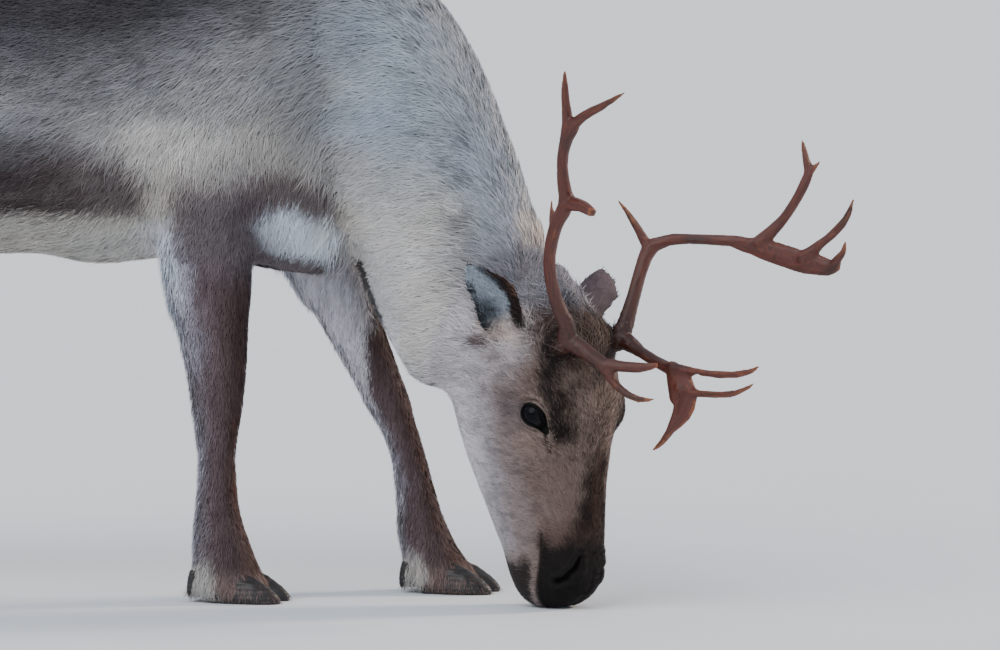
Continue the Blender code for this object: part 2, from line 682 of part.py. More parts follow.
ANTLERS = {
    "right": {
        "beam": [(0.050, 0.054, 0.062, 0.0150), (0.040, 0.057, 0.082, 0.0140),
                 (0.020, 0.064, 0.090, 0.0118), (-0.009, 0.078, 0.087, 0.0102),
                 (-0.050, 0.095, 0.091, 0.0092), (-0.084, 0.108, 0.104, 0.0090),
                 (-0.118, 0.120, 0.127, 0.0098), (-0.146, 0.132, 0.156, 0.0112),
                 (-0.178, 0.150, 0.168, 0.0090), (-0.211, 0.165, 0.182, 0.0084),
                 (-0.248, 0.183, 0.212, 0.0105)],
        "tip_back": [(-0.240, 0.180, 0.206, 0.0085), (-0.277, 0.192, 0.214, 0.0066),
                     (-0.300, 0.198, 0.219, 0.0055), (-0.325, 0.205, 0.226, 0.0022)],
        "tip_front": [(-0.244, 0.182, 0.208, 0.0085), (-0.262, 0.190, 0.244, 0.0070),
                      (-0.273, 0.198, 0.282, 0.0058), (-0.290, 0.210, 0.334, 0.0022)],
        "knob": [(-0.146, 0.132, 0.156, 0.0105), (-0.143, 0.142, 0.188, 0.0095),
                 (-0.132, 0.150, 0.217, 0.0072)],
        "back_tine": [(-0.112, 0.118, 0.122, 0.0075), (-0.136, 0.112, 0.114, 0.0042),
                      (-0.157, 0.108, 0.111, 0.0018)],
        "brow": [(0.040, 0.057, 0.080, 0.0125), (0.046, 0.056, 0.096, 0.0122),
                 (0.060, 0.052, 0.116, 0.0110), (0.077, 0.046, 0.137, 0.0100),
                 (0.099, 0.042, 0.148, 0.0066), (0.118, 0.038, 0.172, 0.0056),
                 (0.125, 0.035, 0.196, 0.0044), (0.123, 0.032, 0.214, 0.0018)],
        "bez": [(0.074, 0.047, 0.133, 0.0090), (0.079, 0.036, 0.165, 0.0082),
                (0.081, 0.028, 0.191, 0.0072), (0.078, 0.024, 0.214, 0.0034)],
    },
    "left": {
        "beam": [(0.050, -0.054, 0.062, 0.0150), (0.046, -0.056, 0.082, 0.0140),
                 (0.027, -0.062, 0.089, 0.0120), (-0.011, -0.075, 0.096, 0.0102),
                 (-0.049, -0.090, 0.100, 0.0100), (-0.078, -0.104, 0.108, 0.0105),
                 (-0.088, -0.115, 0.135, 0.0086), (-0.087, -0.130, 0.175, 0.0078),
                 (-0.082, -0.150, 0.220, 0.0086)],
        "back_tine": [(-0.076, -0.104, 0.106, 0.0090), (-0.107, -0.100, 0.089, 0.0062),
                      (-0.129, -0.095, 0.077, 0.0044), (-0.152, -0.090, 0.060, 0.0018)],
        "tine_1": [(-0.074, -0.163, 0.246, 0.0110), (-0.106, -0.175, 0.283, 0.0078),
                   (-0.134, -0.182, 0.304, 0.0074), (-0.166, -0.190, 0.320, 0.0072),
                   (-0.190, -0.192, 0.317, 0.0058), (-0.221, -0.195, 0.308, 0.0020)],
        "tine_1_nub": [(-0.166, -0.190, 0.320, 0.0056), (-0.188, -0.195, 0.342, 0.0022)],
        "tine_2": [(-0.052, -0.183, 0.305, 0.0095), (-0.082, -0.195, 0.349, 0.0066),
                   (-0.105, -0.200, 0.374, 0.0058), (-0.135, -0.205, 0.387, 0.0020)],
        "tine_3": [(-0.044, -0.196, 0.352, 0.0070), (-0.060, -0.198, 0.368, 0.0052),
                   (-0.078, -0.200, 0.373, 0.0020)],
        "brow": [(0.044, -0.056, 0.080, 0.0120), (0.050, -0.055, 0.100, 0.0110),
                 (0.062, -0.046, 0.126, 0.0092), (0.075, -0.036, 0.160, 0.0084),
                 (0.086, -0.024, 0.196, 0.0092)],
        "shovel_up": [(0.086, -0.022, 0.200, 0.0095), (0.089, -0.019, 0.236, 0.0060),
                      (0.095, -0.018, 0.277, 0.0056), (0.096, -0.017, 0.312, 0.0056),
                      (0.092, -0.016, 0.339, 0.0046), (0.083, -0.015, 0.362, 0.0018)],
        "shovel_low": [(0.112, -0.016, 0.212, 0.0085), (0.119, -0.014, 0.244, 0.0058),
                       (0.122, -0.013, 0.276, 0.0054), (0.122, -0.012, 0.305, 0.0052),
                       (0.116, -0.011, 0.332, 0.0042), (0.104, -0.010, 0.356, 0.0018)],
        "shovel_down": [(0.150, -0.013, 0.212, 0.0085), (0.173, -0.012, 0.196, 0.0058),
                        (0.188, -0.012, 0.180, 0.0044), (0.199, -0.012, 0.161, 0.0018)],
    },
}

# Flat palms: place on the head, half breadth, half thickness, along the path
PALMS = {
    "left": {
        "palm": ((1.0, 0.0, -0.15), [
            (-0.082, -0.148, 0.216, 0.0090, 0.0072), (-0.071, -0.163, 0.248, 0.0135, 0.0075),
            (-0.058, -0.177, 0.284, 0.0165, 0.0068), (-0.046, -0.188, 0.317, 0.0165, 0.0062),
            (-0.040, -0.195, 0.344, 0.0130, 0.0056), (-0.042, -0.198, 0.362, 0.0060, 0.0040)]),
        "shovel": ((0.0, 0.0, 1.0), [
            (0.078, -0.024, 0.196, 0.0090, 0.0080), (0.096, -0.021, 0.207, 0.0170, 0.0072),
            (0.116, -0.017, 0.219, 0.0240, 0.0062), (0.136, -0.014, 0.224, 0.0205, 0.0058),
            (0.156, -0.013, 0.212, 0.0125, 0.0056), (0.168, -0.012, 0.200, 0.0070, 0.0050)]),
    },
    "right": {
        "crown": ((0.0, 0.0, 1.0), [
            (-0.228, 0.173, 0.194, 0.0080, 0.0078), (-0.244, 0.181, 0.208, 0.0130, 0.0074),
            (-0.256, 0.186, 0.222, 0.0120, 0.0058)]),
    },
}

# Thin cuts at the main forks: the branch, and how far along it from 0 to 1
ANTLER_CUTS = {
    "right": {
        "upper": ("beam", 0.760),
        "tip_back": ("tip_back", 0.300),
        "tip_front": ("tip_front", 0.270),
        "front": ("brow", 0.190),
        "brow": ("brow", 0.560),
        "bez": ("bez", 0.300),
    },
    "left": {
        "arm": ("beam", 0.720),
        "tine_1": ("tine_1", 0.190),
        "tine_2": ("tine_2", 0.280),
        "front": ("brow", 0.250),
        "shovel": ("brow", 0.930),
        "shovel_up": ("shovel_up", 0.230),
    },
}


def tube_rings(points, count=TUBE_POINTS):
    """Round rings along a smooth path of (along, right, front, radius)."""
    rows = smooth_rows(points, 4)
    places = [on_head(*row[:3]) for row in rows]
    rings = []
    side = None
    for i, place in enumerate(places):
        ahead = (places[min(i + 1, len(places) - 1)] - places[max(i - 1, 0)]).normalized()
        seed = side if side is not None else HEAD_FRONT.cross(ahead)
        side = (seed - seed.dot(ahead) * ahead).normalized()
        radius = rows[i][3]
        rings.append(egg_ring(place, side, ahead.cross(side), radius, radius, radius,
                              count=count))
    return rings


def palm_rings(breadth_way, points, count=14):
    """Flattened rings along a path of (along, right, front, half breadth, half thickness)."""
    rows = smooth_rows(points, 3)
    places = [on_head(*row[:3]) for row in rows]
    broad = breadth_way[0] * HEAD_DOWN + breadth_way[1] * HEAD_RIGHT + breadth_way[2] * HEAD_FRONT
    rings = []
    for i, place in enumerate(places):
        ahead = (places[min(i + 1, len(places) - 1)] - places[max(i - 1, 0)]).normalized()
        side = (broad - broad.dot(ahead) * ahead).normalized()
        up = ahead.cross(side)
        breadth, thickness = rows[i][3], rows[i][4]
        rings.append(egg_ring(place, side, up, breadth, thickness, thickness, count=count))
    return rings


def branch_point(points, share):
    """The place and the way on at a share of a branch's length, with its radius."""
    rows = smooth_rows(points, 12)
    places = [on_head(*row[:3]) for row in rows]
    spans = [0.0]
    for a, b in zip(places, places[1:]):
        spans.append(spans[-1] + (b - a).length)
    goal = share * spans[-1]
    i = min(range(len(spans)), key=lambda k: abs(spans[k] - goal))
    i = min(max(i, 1), len(places) - 2)
    return places[i], (places[i + 1] - places[i - 1]).normalized(), rows[i][3]


def make_antler(side, head, groups, material):
    """One antler as one smooth body, then parted by thin cuts at its main forks."""
    parts, cutters = groups
    bm = bmesh.new()
    for points in ANTLERS[side].values():
        add_loft(bm, tube_rings(points))
    for breadth_way, points in PALMS.get(side, {}).values():
        add_loft(bm, palm_rings(breadth_way, points))
    antler = object_from(bm, f"antler_{side}_beam", parts, material)
    remesh = antler.modifiers.new("one body", "REMESH")
    remesh.mode = "VOXEL"
    remesh.voxel_size = ANTLER_VOXEL
    soft = antler.modifiers.new("soft", "SMOOTH")
    soft.factor = 0.5
    soft.iterations = 3
    bake_modifiers(antler)
    thin_out(antler, ANTLER_TRIANGLES)
    seat_antler(side, head, cutters)
    bm = bmesh.new()
    marks = {}
    for name, (branch, share) in ANTLER_CUTS[side].items():
        place, ahead, radius = branch_point(ANTLERS[side][branch], share)
        marks[name] = place + ahead * 0.006
        across = ahead.orthogonal().normalized()
        reach = 2.6 * max(radius, 0.0075)
        axes = (ahead, across, ahead.cross(across))
        turn = Matrix(axes).transposed()
        size = Matrix.Diagonal(Vector((GAP, 2 * reach, 2 * reach)))
        bmesh.ops.create_cube(bm, size=1.0,
                              matrix=Matrix.Translation(place) @ (turn @ size).to_4x4())
    slits = object_from(bm, f"antler_{side}_slits", cutters)
    hide_cutter(slits)
    cut(antler, slits, "DIFFERENCE")
    name_loose_parts(antler, f"antler_{side}_", "beam", marks, parts, material)


def seat_antler(side, head, cutters):
    """The hole in the head that an antler's root sits in."""
    root = [(a, r, f, radius + ANTLER_SEAT_GAP) for a, r, f, radius in ANTLERS[side]["beam"][:4]]
    a, r, f, radius = root[0]
    root[0] = (a + 0.002, r, f - 0.004, radius)
    bm = bmesh.new()
    add_loft(bm, tube_rings(root, count=10))
    seat = object_from(bm, f"antler_{side}_seat", cutters)
    hide_cutter(seat)
    cut(head, seat, "DIFFERENCE")


def name_loose_parts(thing, prefix, main, marks, group, material):
    """Give each loose body of a mesh its own object, named by the mark that lies in it."""
    bm = bmesh.new()
    bm.from_mesh(thing.data)
    islands = []
    unseen = set(bm.verts)
    while unseen:
        front = [unseen.pop()]
        island = set(front)
        while front:
            vert = front.pop()
            for edge in vert.link_edges:
                other = edge.other_vert(vert)
                if other in unseen:
                    unseen.discard(other)
                    island.add(other)
                    front.append(other)
        islands.append(island)
    islands.sort(key=lambda island: min(vert.index for vert in island))
    names = {}
    for name, mark in marks.items():
        nearest = min(range(len(islands)), key=lambda k: min(
            (vert.co - mark).length for vert in islands[k]))
        names.setdefault(nearest, name)
    bpy.data.objects.remove(thing, do_unlink=True)
    for k, island in enumerate(islands):
        name = prefix + names.get(k, main)
        ordered = sorted(island, key=lambda vert: vert.index)
        index = {vert: i for i, vert in enumerate(ordered)}
        faces = [[index[vert] for vert in face.verts] for face in bm.faces
                 if face.verts[0] in island]
        mesh = bpy.data.meshes.new(name)
        mesh.from_pydata([vert.co[:] for vert in ordered], [], faces)
        mesh.materials.append(material)
        group.objects.link(bpy.data.objects.new(name, mesh))
    bm.free()


# The flat that the lips rest on

def flatten_below_floor(head, groups):
    """Trim what would reach under the floor, which leaves a small flat under the lips."""
    under = box_cutter("floor_trim", Vector((0.45, -0.05, -0.10)), (0.30, 0.30, 0.10),
                       level_axes(), groups[1])
    cut(head, under, "DIFFERENCE")


def centre_on_floor(parts):
    """Move all so that the origin is under the middle of the whole, on the floor."""
    low = Vector((1e9, 1e9, 1e9))
    high = -low
    for piece in parts.objects:
        for vert in piece.data.vertices:
            for k in range(3):
                low[k] = min(low[k], vert.co[k])
                high[k] = max(high[k], vert.co[k])
    shift = Vector((-(low.x + high.x) / 2, -(low.y + high.y) / 2, -low.z))
    for piece in parts.objects:
        piece.data.transform(Matrix.Translation(shift))


def finish_shading(parts):
    for piece in parts.objects:
        piece.data.shade_smooth()
        piece.data.set_sharp_from_angle(angle=math.radians(50.0))


def build():
    clear_scene()
    parts = new_collection("reindeer")
    cutters = new_collection("cutters")
    groups = (parts, cutters)
    coat = {
        "grey": plain_material("coat_grey", COAT_GREY, 0.85),
        "pale": plain_material("coat_pale", COAT_PALE, 0.85),
        "brown": plain_material("coat_brown", COAT_BROWN, 0.85),
    }
    horn = plain_material("hoof_horn", HOOF_BLACK, 0.45)
    antler = plain_material("antler_bone", HORN_BROWN, 0.50)
    glossy = plain_material("eye_glossy", EYE_BLACK, 0.05)
    flesh = whole_flesh(parts)
    pieces = split_flesh(flesh, groups, coat)
    make_tail(groups, pieces["trunk"], coat["pale"])
    flatten_below_floor(pieces["head"], groups)
    for name, (side, foot_x, _) in LEGS.items():
        make_foot(name, side, foot_x, pieces["leg_" + name], groups, horn)
    for name, side in (("right", 1), ("left", -1)):
        make_ear("ear_" + name, side, pieces["head"], groups, coat["grey"])
        make_eye("eye_" + name, side, pieces["head"], groups, glossy)
        make_antler(name, pieces["head"], groups, antler)
    for piece in parts.objects:
        triangulate(piece)
    centre_on_floor(parts)
    finish_shading(parts)


build()
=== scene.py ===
# Reindeer in its winter coat: skin, fur, antlers, hooves and eyes round the solid model

import math
from contextlib import contextmanager

import bmesh
import bpy
import numpy as np
from mathutils import Matrix, Vector
from mathutils.bvhtree import BVHTree
from mathutils.kdtree import KDTree


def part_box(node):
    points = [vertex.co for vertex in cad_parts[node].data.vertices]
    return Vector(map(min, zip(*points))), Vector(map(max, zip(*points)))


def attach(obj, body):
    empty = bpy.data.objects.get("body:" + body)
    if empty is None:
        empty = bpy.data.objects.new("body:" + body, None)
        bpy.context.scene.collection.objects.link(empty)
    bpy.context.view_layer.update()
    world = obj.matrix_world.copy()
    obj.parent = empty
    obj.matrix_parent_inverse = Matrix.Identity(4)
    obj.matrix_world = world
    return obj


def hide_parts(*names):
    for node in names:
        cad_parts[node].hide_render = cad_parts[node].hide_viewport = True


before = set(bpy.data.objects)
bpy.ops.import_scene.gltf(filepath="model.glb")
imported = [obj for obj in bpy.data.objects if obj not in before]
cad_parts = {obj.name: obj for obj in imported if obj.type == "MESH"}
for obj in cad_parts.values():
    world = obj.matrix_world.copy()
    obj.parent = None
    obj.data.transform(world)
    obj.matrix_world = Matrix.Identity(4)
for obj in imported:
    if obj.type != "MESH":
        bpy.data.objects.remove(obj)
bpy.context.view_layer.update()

dice = np.random.default_rng(11)

# Places and sizes, in metres: X ahead, Y to the animal's left, Z up

MIDDLE_Y = 0.0768
FOOT_X = 0.0579
POLL = np.array((0.4999, 0.0268, 0.408))
MUZZLE = np.array((0.5249, 0.0168, 0.0))
HEAD_TURN = math.radians(25.0)

LEGS = ("leg_front_right", "leg_front_left", "leg_hind_right", "leg_hind_left")
EARS = ("ear_right", "ear_left")
EYES = ("eye_right", "eye_left")
PARTS = ("head", "neck", "trunk", "tail") + LEGS + EARS

# Where the head, neck, trunk, legs and ears stand in PARTS

HEAD, NECK, TRUNK = 0, 1, 2
LEG_COLUMNS = slice(4, 8)
EAR_COLUMNS = slice(8, 10)

# Fineness of the skin, the painted shade on its colours under the hair, and landmarks

SKIN_GRAIN = 0.0038
BODY_SHARE = 0.16
SKIN_SHADE = 0.84
NOSE_LENGTH = 0.409
LEFT_SHOULDER_AHEAD = 0.085

# The photo's view

CAMERA_AZIMUTH = math.radians(15.0)
CAMERA_HEIGHT = math.radians(3.5)
CAMERA_AWAY = 9.0
PIXELS_PER_METRE = 720.0
PICTURE = (1000, 650)
FOOT_PIXEL = (228, 601)
FOOT_NEAR = (FOOT_X, MIDDLE_Y - 0.10, 0.0)


def paint(red, green, blue):
    """A colour as seen on a screen, 0 to 255, made linear."""
    seen = np.array((red, green, blue)) / 255.0
    return np.where(seen <= 0.04045, seen / 12.92, ((seen + 0.055) / 1.055) ** 2.4)


# Coat colours: the greys and whites are the coat's own, and the blue tint in the palest of them is
# painted light, the blue of shade under a snowy sky

BACK_DARK = paint(68, 65, 69)
BACK_GREY = paint(104, 103, 107)
FLANK_GREY = paint(138, 139, 144)
FLANK_LIGHT = paint(150, 151, 156)
FLANK_PALE = paint(190, 186, 180)
SHOULDER = paint(144, 147, 152)
SHOULDER_PALE = paint(172, 172, 174)
BEHIND_ARM = paint(212, 210, 207)
STRIPE = paint(84, 72, 75)
STRIPE_DARK = paint(58, 46, 48)
BELLY = paint(194, 191, 184)
NECK_CREAM = paint(213, 211, 209)
NECK_BASE = paint(180, 184, 188)
NECK_HIGH = paint(174, 185, 196)
CREST_GREY = paint(160, 168, 180)
NAPE_GREY = paint(132, 132, 142)
# The next colour is painted warm rim light on the neck's crest.
CREST_RIM_LIGHT = paint(226, 212, 200)
THROAT_WHITE = paint(238, 236, 240)
CHEST_WHITE = paint(228, 238, 249)
CHEST_BROWN = paint(98, 85, 88)
ARM_BROWN = paint(110, 102, 107)
LEG_PALE = paint(222, 228, 238)
LEG_SOFT = paint(178, 177, 188)
LEG_GREY = paint(144, 137, 147)
LEG_BROWN = paint(114, 99, 103)
LEG_DARK = paint(94, 78, 79)
LEG_FRONT = paint(78, 60, 58)
LEG_WARM = paint(100, 66, 53)
LEG_INNER = paint(226, 225, 232)
TOE_BROWN = paint(128, 108, 103)
FOOT_CREAM = paint(196, 192, 186)
RUMP_PALE = paint(214, 210, 204)
JAW_PALE = paint(226, 221, 224)
CHEEK_GREY = paint(184, 178, 182)
CHEEK_TAN = paint(150, 136, 134)
FACE_TAN = paint(134, 116, 110)
FACE_BROWN = paint(116, 97, 90)
TEMPLE = paint(100, 90, 93)
FOREHEAD = paint(134, 115, 106)
FOREHEAD_DARK = paint(54, 39, 33)
CROWN = paint(76, 59, 53)
CROWN_LIGHT = paint(130, 117, 111)
UNDER_EYE = paint(160, 138, 126)
LID_TAN = paint(156, 136, 126)
BROW = paint(20, 11, 8)
NOSE_DARK = paint(24, 14, 11)
MUZZLE_BLACK = paint(25, 20, 20)
LIP_BROWN = paint(98, 78, 71)
LIP_PALE = paint(142, 124, 115)
LID_BLACK = paint(9, 8, 9)
EAR_BACK = paint(106, 91, 95)
EAR_RIM = paint(46, 33, 30)
EAR_INSIDE = paint(164, 175, 186)
EAR_CREAM = paint(208, 190, 180)
EAR_BROWN = paint(104, 88, 87)
# The next colour is painted shade in the ears' hollows.
EAR_HOLLOW_SHADE = paint(14, 14, 18)
# The next colour is painted warm rim light on the ears' edges.
EAR_RIM_LIGHT = paint(136, 100, 80)

# Horn colours

ANTLER_TONE = paint(86, 39, 28)
ANTLER_DARK = paint(48, 22, 16)
# The next colour is a painted highlight on the antlers' raised edges.
ANTLER_HIGHLIGHT = paint(180, 108, 60)
HOOF_BLACK = paint(34, 30, 30)


# Small sums on rows of numbers

def ramp(value, start, end):
    """0 before start, 1 after end, and a smooth rise between, which may run backwards."""
    t = np.clip((value - start) / (end - start), 0.0, 1.0)
    return t * t * (3.0 - 2.0 * t)


def blend(one, other, share):
    """one turning to other as share goes from 0 to 1."""
    share = np.asarray(share)[..., None]
    return one * (1.0 - share) + other * share


def paint_over(colours, *coats):
    """The colours with others laid over them in turn, each as far as its share goes."""
    for colour, share in coats:
        colours = blend(colours, colour, share)
    return colours


def stops(value, *marks):
    """Colours read off a scale of (value, colour) marks."""
    at = [mark[0] for mark in marks]
    rows = np.array([mark[1] for mark in marks])
    return np.stack([np.interp(value, at, rows[:, k]) for k in range(3)], axis=1)


def unit(rows):
    return rows / np.maximum(np.linalg.norm(rows, axis=-1, keepdims=True), 1e-9)


def dot(one, other):
    return (one * other).sum(axis=-1)


def bell(value, middle, width):
    """1 at the middle, and fading out over that width on both sides."""
    return np.exp(-((value - middle) / width) ** 2)


def soft_spot(u, v, middle, size):
    """1 at a middle, and fading out round it in an oval of that size."""
    return np.exp(-((u - middle[0]) / size[0]) ** 2 - ((v - middle[1]) / size[1]) ** 2)


def side_of(name):
    """1 for what is on the animal's right, -1 for what is on its left."""
    return 1.0 if "right" in name else -1.0


def lattice(cells):
    """A fixed number from 0 to 1 for each whole-numbered cell."""
    mix = (cells[:, 0] * 73856093) ^ (cells[:, 1] * 19349663) ^ (cells[:, 2] * 83492791)
    mix = (mix ^ (mix >> 13)) * 1274126177
    return ((mix ^ (mix >> 16)) & 0xFFFF) / 65535.0


def cloud(places, size):
    """Smooth noise from 0 to 1 with blobs of about that size."""
    at = places / size
    base = np.floor(at).astype(np.int64)
    inside = at - base
    inside = inside * inside * (3.0 - 2.0 * inside)
    total = np.zeros(len(places))
    for corner in np.ndindex(2, 2, 2):
        corner = np.array(corner)
        weight = np.where(corner == 1, inside, 1.0 - inside).prod(axis=1)
        total += weight * lattice(base + corner)
    return total


# The head's own directions

def head_axes():
    """From poll to nose, to the animal's right, and out of the forehead."""
    down = unit(MUZZLE - POLL)
    ahead = np.array((math.cos(HEAD_TURN), -math.sin(HEAD_TURN), 0.0))
    front = unit(ahead - dot(ahead, down) * down)
    return down, np.cross(down, front), front


HEAD_DOWN, HEAD_RIGHT, HEAD_FRONT = head_axes()


def on_head(along, right, front):
    return POLL + along * HEAD_DOWN + right * HEAD_RIGHT + front * HEAD_FRONT


def head_places(places):
    """How far each place lies down the head, to its right, and to its front."""
    away = places - POLL
    return away @ HEAD_DOWN, away @ HEAD_RIGHT, away @ HEAD_FRONT


# Meshes as rows of numbers

def read_rows(items, key, width, kind=np.float32):
    """One property of all the items of a mesh, in rows of that width."""
    rows = np.empty(len(items) * width, dtype=kind)
    items.foreach_get(key, rows)
    return rows.reshape(-1, width)


def read_points(mesh):
    return read_rows(mesh.vertices, "co", 3).astype(float)


def read_normals(mesh):
    return read_rows(mesh.vertex_normals, "vector", 3).astype(float)


def read_edges(mesh):
    return read_rows(mesh.edges, "vertices", 2, np.int32)


def read_triangles(mesh):
    mesh.calc_loop_triangles()
    return read_rows(mesh.loop_triangles, "vertices", 3, np.int32)


def write_points(mesh, points):
    mesh.vertices.foreach_set("co", points.astype(np.float32).ravel())
    mesh.update()


def write_colours(mesh, name, rows):
    """A colour or mask for each point of a mesh, under that name."""
    layer = mesh.attributes.new(name, "FLOAT_COLOR", "POINT")
    full = np.ones((len(rows), 4), dtype=np.float32)
    full[:, :rows.shape[1]] = rows
    layer.data.foreach_set("color", full.ravel())


def write_vectors(mesh, name, rows):
    layer = mesh.attributes.new(name, "FLOAT_VECTOR", "POINT")
    layer.data.foreach_set("vector", rows.astype(np.float32).ravel())


def mesh_from(name, points, corners, sizes):
    """A mesh from its points, all faces' corners in one row, and each face's corner count."""
    mesh = bpy.data.meshes.new(name)
    mesh.vertices.add(len(points))
    mesh.vertices.foreach_set("co", points.astype(np.float32).ravel())
    mesh.loops.add(len(corners))
    mesh.loops.foreach_set("vertex_index", corners.astype(np.int32))
    mesh.polygons.add(len(sizes))
    starts = np.concatenate([[0], np.cumsum(sizes)[:-1]])
    mesh.polygons.foreach_set("loop_start", starts.astype(np.int32))
    mesh.update(calc_edges=True)
    return mesh


def place_mesh(name, mesh):
    thing = bpy.data.objects.new(name, mesh)
    bpy.context.scene.collection.objects.link(thing)
    return thing


def dress(thing, material):
    """Give a piece its one material, and shade it smooth."""
    thing.data.materials.clear()
    thing.data.materials.append(material)
    thing.data.shade_smooth()


@contextmanager
def edited(mesh):
    """A mesh opened for editing, and written back at the end."""
    bm = bmesh.new()
    bm.from_mesh(mesh)
    yield bm
    bm.to_mesh(mesh)
    bm.free()


def settle(thing):
    """Replace an object's mesh by what its modifiers make of it."""
    graph = bpy.context.evaluated_depsgraph_get()
    mesh = bpy.data.meshes.new_from_object(thing.evaluated_get(graph), depsgraph=graph)
    old = thing.data
    thing.modifiers.clear()
    thing.data = mesh
    bpy.data.meshes.remove(old)


def join_nodes(name, nodes, extra=None):
    """One loose mesh object of copies of the solid nodes, with what extra adds."""
    mesh = bpy.data.meshes.new(name)
    with edited(mesh) as bm:
        for node in nodes:
            bm.from_mesh(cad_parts[node].data)
        if extra:
            extra(bm)
    return place_mesh(name, mesh)


def voxel_skin(thing, grain):
    remesh = thing.modifiers.new("one skin", "REMESH")
    remesh.mode = "VOXEL"
    remesh.voxel_size = grain
    settle(thing)


def neighbour_web(edges, count):
    """For each point, its neighbours in a row: sources, where each row starts, and how many."""
    source = np.concatenate([edges[:, 1], edges[:, 0]])
    target = np.concatenate([edges[:, 0], edges[:, 1]])
    order = np.argsort(target, kind="stable")
    many = np.bincount(target, minlength=count)
    starts = np.concatenate([[0], np.cumsum(many)[:-1]])
    return source[order], starts, many


def neighbour_mean(values, web):
    source, starts, many = web
    return np.add.reduceat(values[source], starts, axis=0) / many[:, None]


RELAX_STEP = 0.7


def relax(values, web, rounds, amount=1.0):
    """Values evened out over the surface; amount may differ from point to point."""
    amount = np.broadcast_to(np.asarray(amount, dtype=float), (len(values),))[:, None]
    for _ in range(rounds):
        values = values + RELAX_STEP * amount * (neighbour_mean(values, web) - values)
    return values


def even_out(points, web, rounds, amount=0.9):
    """Bumps smoothed away, with nearly all the lost thickness given back each round."""
    for _ in range(rounds):
        points = relax(points, web, 1, amount)
        points = points - 0.95 * RELAX_STEP * amount * (neighbour_mean(points, web) - points)
    return points


def nearest_labels(points, names):
    """Which of the solid nodes lies nearest to each point."""
    corners, faces, owner = [], [], []
    for number, name in enumerate(names):
        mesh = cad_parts[name].data
        first = len(corners)
        corners.extend(vert.co[:] for vert in mesh.vertices)
        for face in mesh.polygons:
            faces.append([first + k for k in face.vertices])
            owner.append(number)
    tree = BVHTree.FromPolygons(corners, faces)
    owner = np.array(owner)
    found = [tree.find_nearest(point)[2] for point in points.tolist()]
    return owner[np.array(found)]


# Lines of the body, read off the solids

def slice_line(node, count=40):
    """Heights up a node, with the lowest and highest x of it at each."""
    points = read_points(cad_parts[node].data)
    edges = read_edges(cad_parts[node].data)
    low, high = points[edges[:, 0]], points[edges[:, 1]]
    heights = np.linspace(points[:, 2].min() + 0.002, points[:, 2].max() - 0.002, count)
    back, front = [], []
    for height in heights:
        across = (low[:, 2] - height) * (high[:, 2] - height) < 0
        a, b = low[across], high[across]
        t = (height - a[:, 2]) / (b[:, 2] - a[:, 2])
        x = a[:, 0] + t * (b[:, 0] - a[:, 0])
        back.append(x.min())
        front.append(x.max())
    return heights, np.array(back), np.array(front)


LEG_LINES = {leg: slice_line(leg) for leg in LEGS}
NECK_LINE = slice_line("neck")


def edges_at(line, places):
    """The lowest and highest x of a sliced node at each place's height."""
    heights, back, front = line
    return np.interp(places[:, 2], heights, back), np.interp(places[:, 2], heights, front)


def leg_share(leg, places):
    """-1 at a leg's back edge, 1 at its front edge."""
    low, high = edges_at(LEG_LINES[leg], places)
    return (places[:, 0] - (low + high) / 2) / np.maximum((high - low) / 2, 0.01)


def neck_share(places):
    """0 at the throat, 1 at the crest of the neck."""
    low, high = edges_at(NECK_LINE, places)
    return (places[:, 0] - low) / np.maximum(high - low, 0.02)


# Markings, the same on skin and coat

def beside(places):
    """Ahead of the foot, out from the middle plane, and up. The left side starts at its own leg."""
    left = ramp(places[:, 1], MIDDLE_Y - 0.04, MIDDLE_Y + 0.04)
    low = ramp(places[:, 2], 0.86, 0.56)
    x = places[:, 0] - FOOT_X - LEFT_SHOULDER_AHEAD * left * low
    return x, np.abs(places[:, 1] - MIDDLE_Y), places[:, 2]


def neck_tones(places, ragged):
    """Cream below, bluish grey above, greyer still at the crest and behind the head, and painted warm
    rim light on the crest's very edge.
    """
    across = neck_share(places) + 2.0 * ragged
    z = places[:, 2] + 0.5 * ragged
    return paint_over(
        stops(z, (0.50, NECK_CREAM), (0.60, NECK_BASE), (0.68, NECK_HIGH)),
        (NECK_CREAM, ramp(across, 0.42, 0.15) * ramp(z, 0.68, 0.52)),
        (THROAT_WHITE, ramp(across, 0.40, 0.15) * ramp(z, 0.42, 0.36)),
        (CREST_GREY, 0.8 * ramp(across, 0.62, 0.85)),
        (NAPE_GREY, 0.9 * ramp(z, 0.56, 0.44) * ramp(across, 0.45, 0.80)),
        # The warm pale colour on the crest's very edge is painted rim light.
        (CREST_RIM_LIGHT, 0.8 * ramp(across, 0.955, 1.0)))


def flank_tones(x, z, ragged):
    """Dark back over a grey flank, paler on the shoulder and brightest behind the foreleg."""
    level = z + ragged - 0.36 * np.maximum(x + 0.16, 0.0)
    bright = 1.2 * soft_spot(x + ragged, z, (-0.072, 0.637), (0.080, 0.042))
    return paint_over(
        stops(level, (0.58, FLANK_PALE), (0.62, FLANK_LIGHT), (0.70, FLANK_GREY),
              (0.748, BACK_GREY), (0.808, BACK_DARK)),
        (SHOULDER, 0.95 * soft_spot(x, z, (0.135, 0.715), (0.11, 0.11))),
        (SHOULDER_PALE, 0.65 * soft_spot(x, z, (0.005, 0.715), (0.085, 0.060))),
        (BEHIND_ARM, np.minimum(bright, 0.92)))


def stripe_coat(places, x, z, ragged):
    """The dark stripe low on the flank, streaked, and darker towards the hind leg."""
    top = z + 1.3 * ragged + np.interp(x, (-0.20, -0.08), (0.0, 0.022))
    stripe = ramp(z + 0.3 * ragged, 0.530, 0.556) * ramp(top, 0.664, 0.594)
    stripe = stripe * ramp(x + 0.9 * ragged, -0.070, -0.130) * ramp(x, -0.74, -0.60)
    stripe = stripe * (0.78 + 0.34 * cloud(places * (0.15, 1.0, 1.0), 0.009))
    return blend(STRIPE, STRIPE_DARK, ramp(x, -0.14, -0.28)), np.minimum(0.96 * stripe, 0.97)


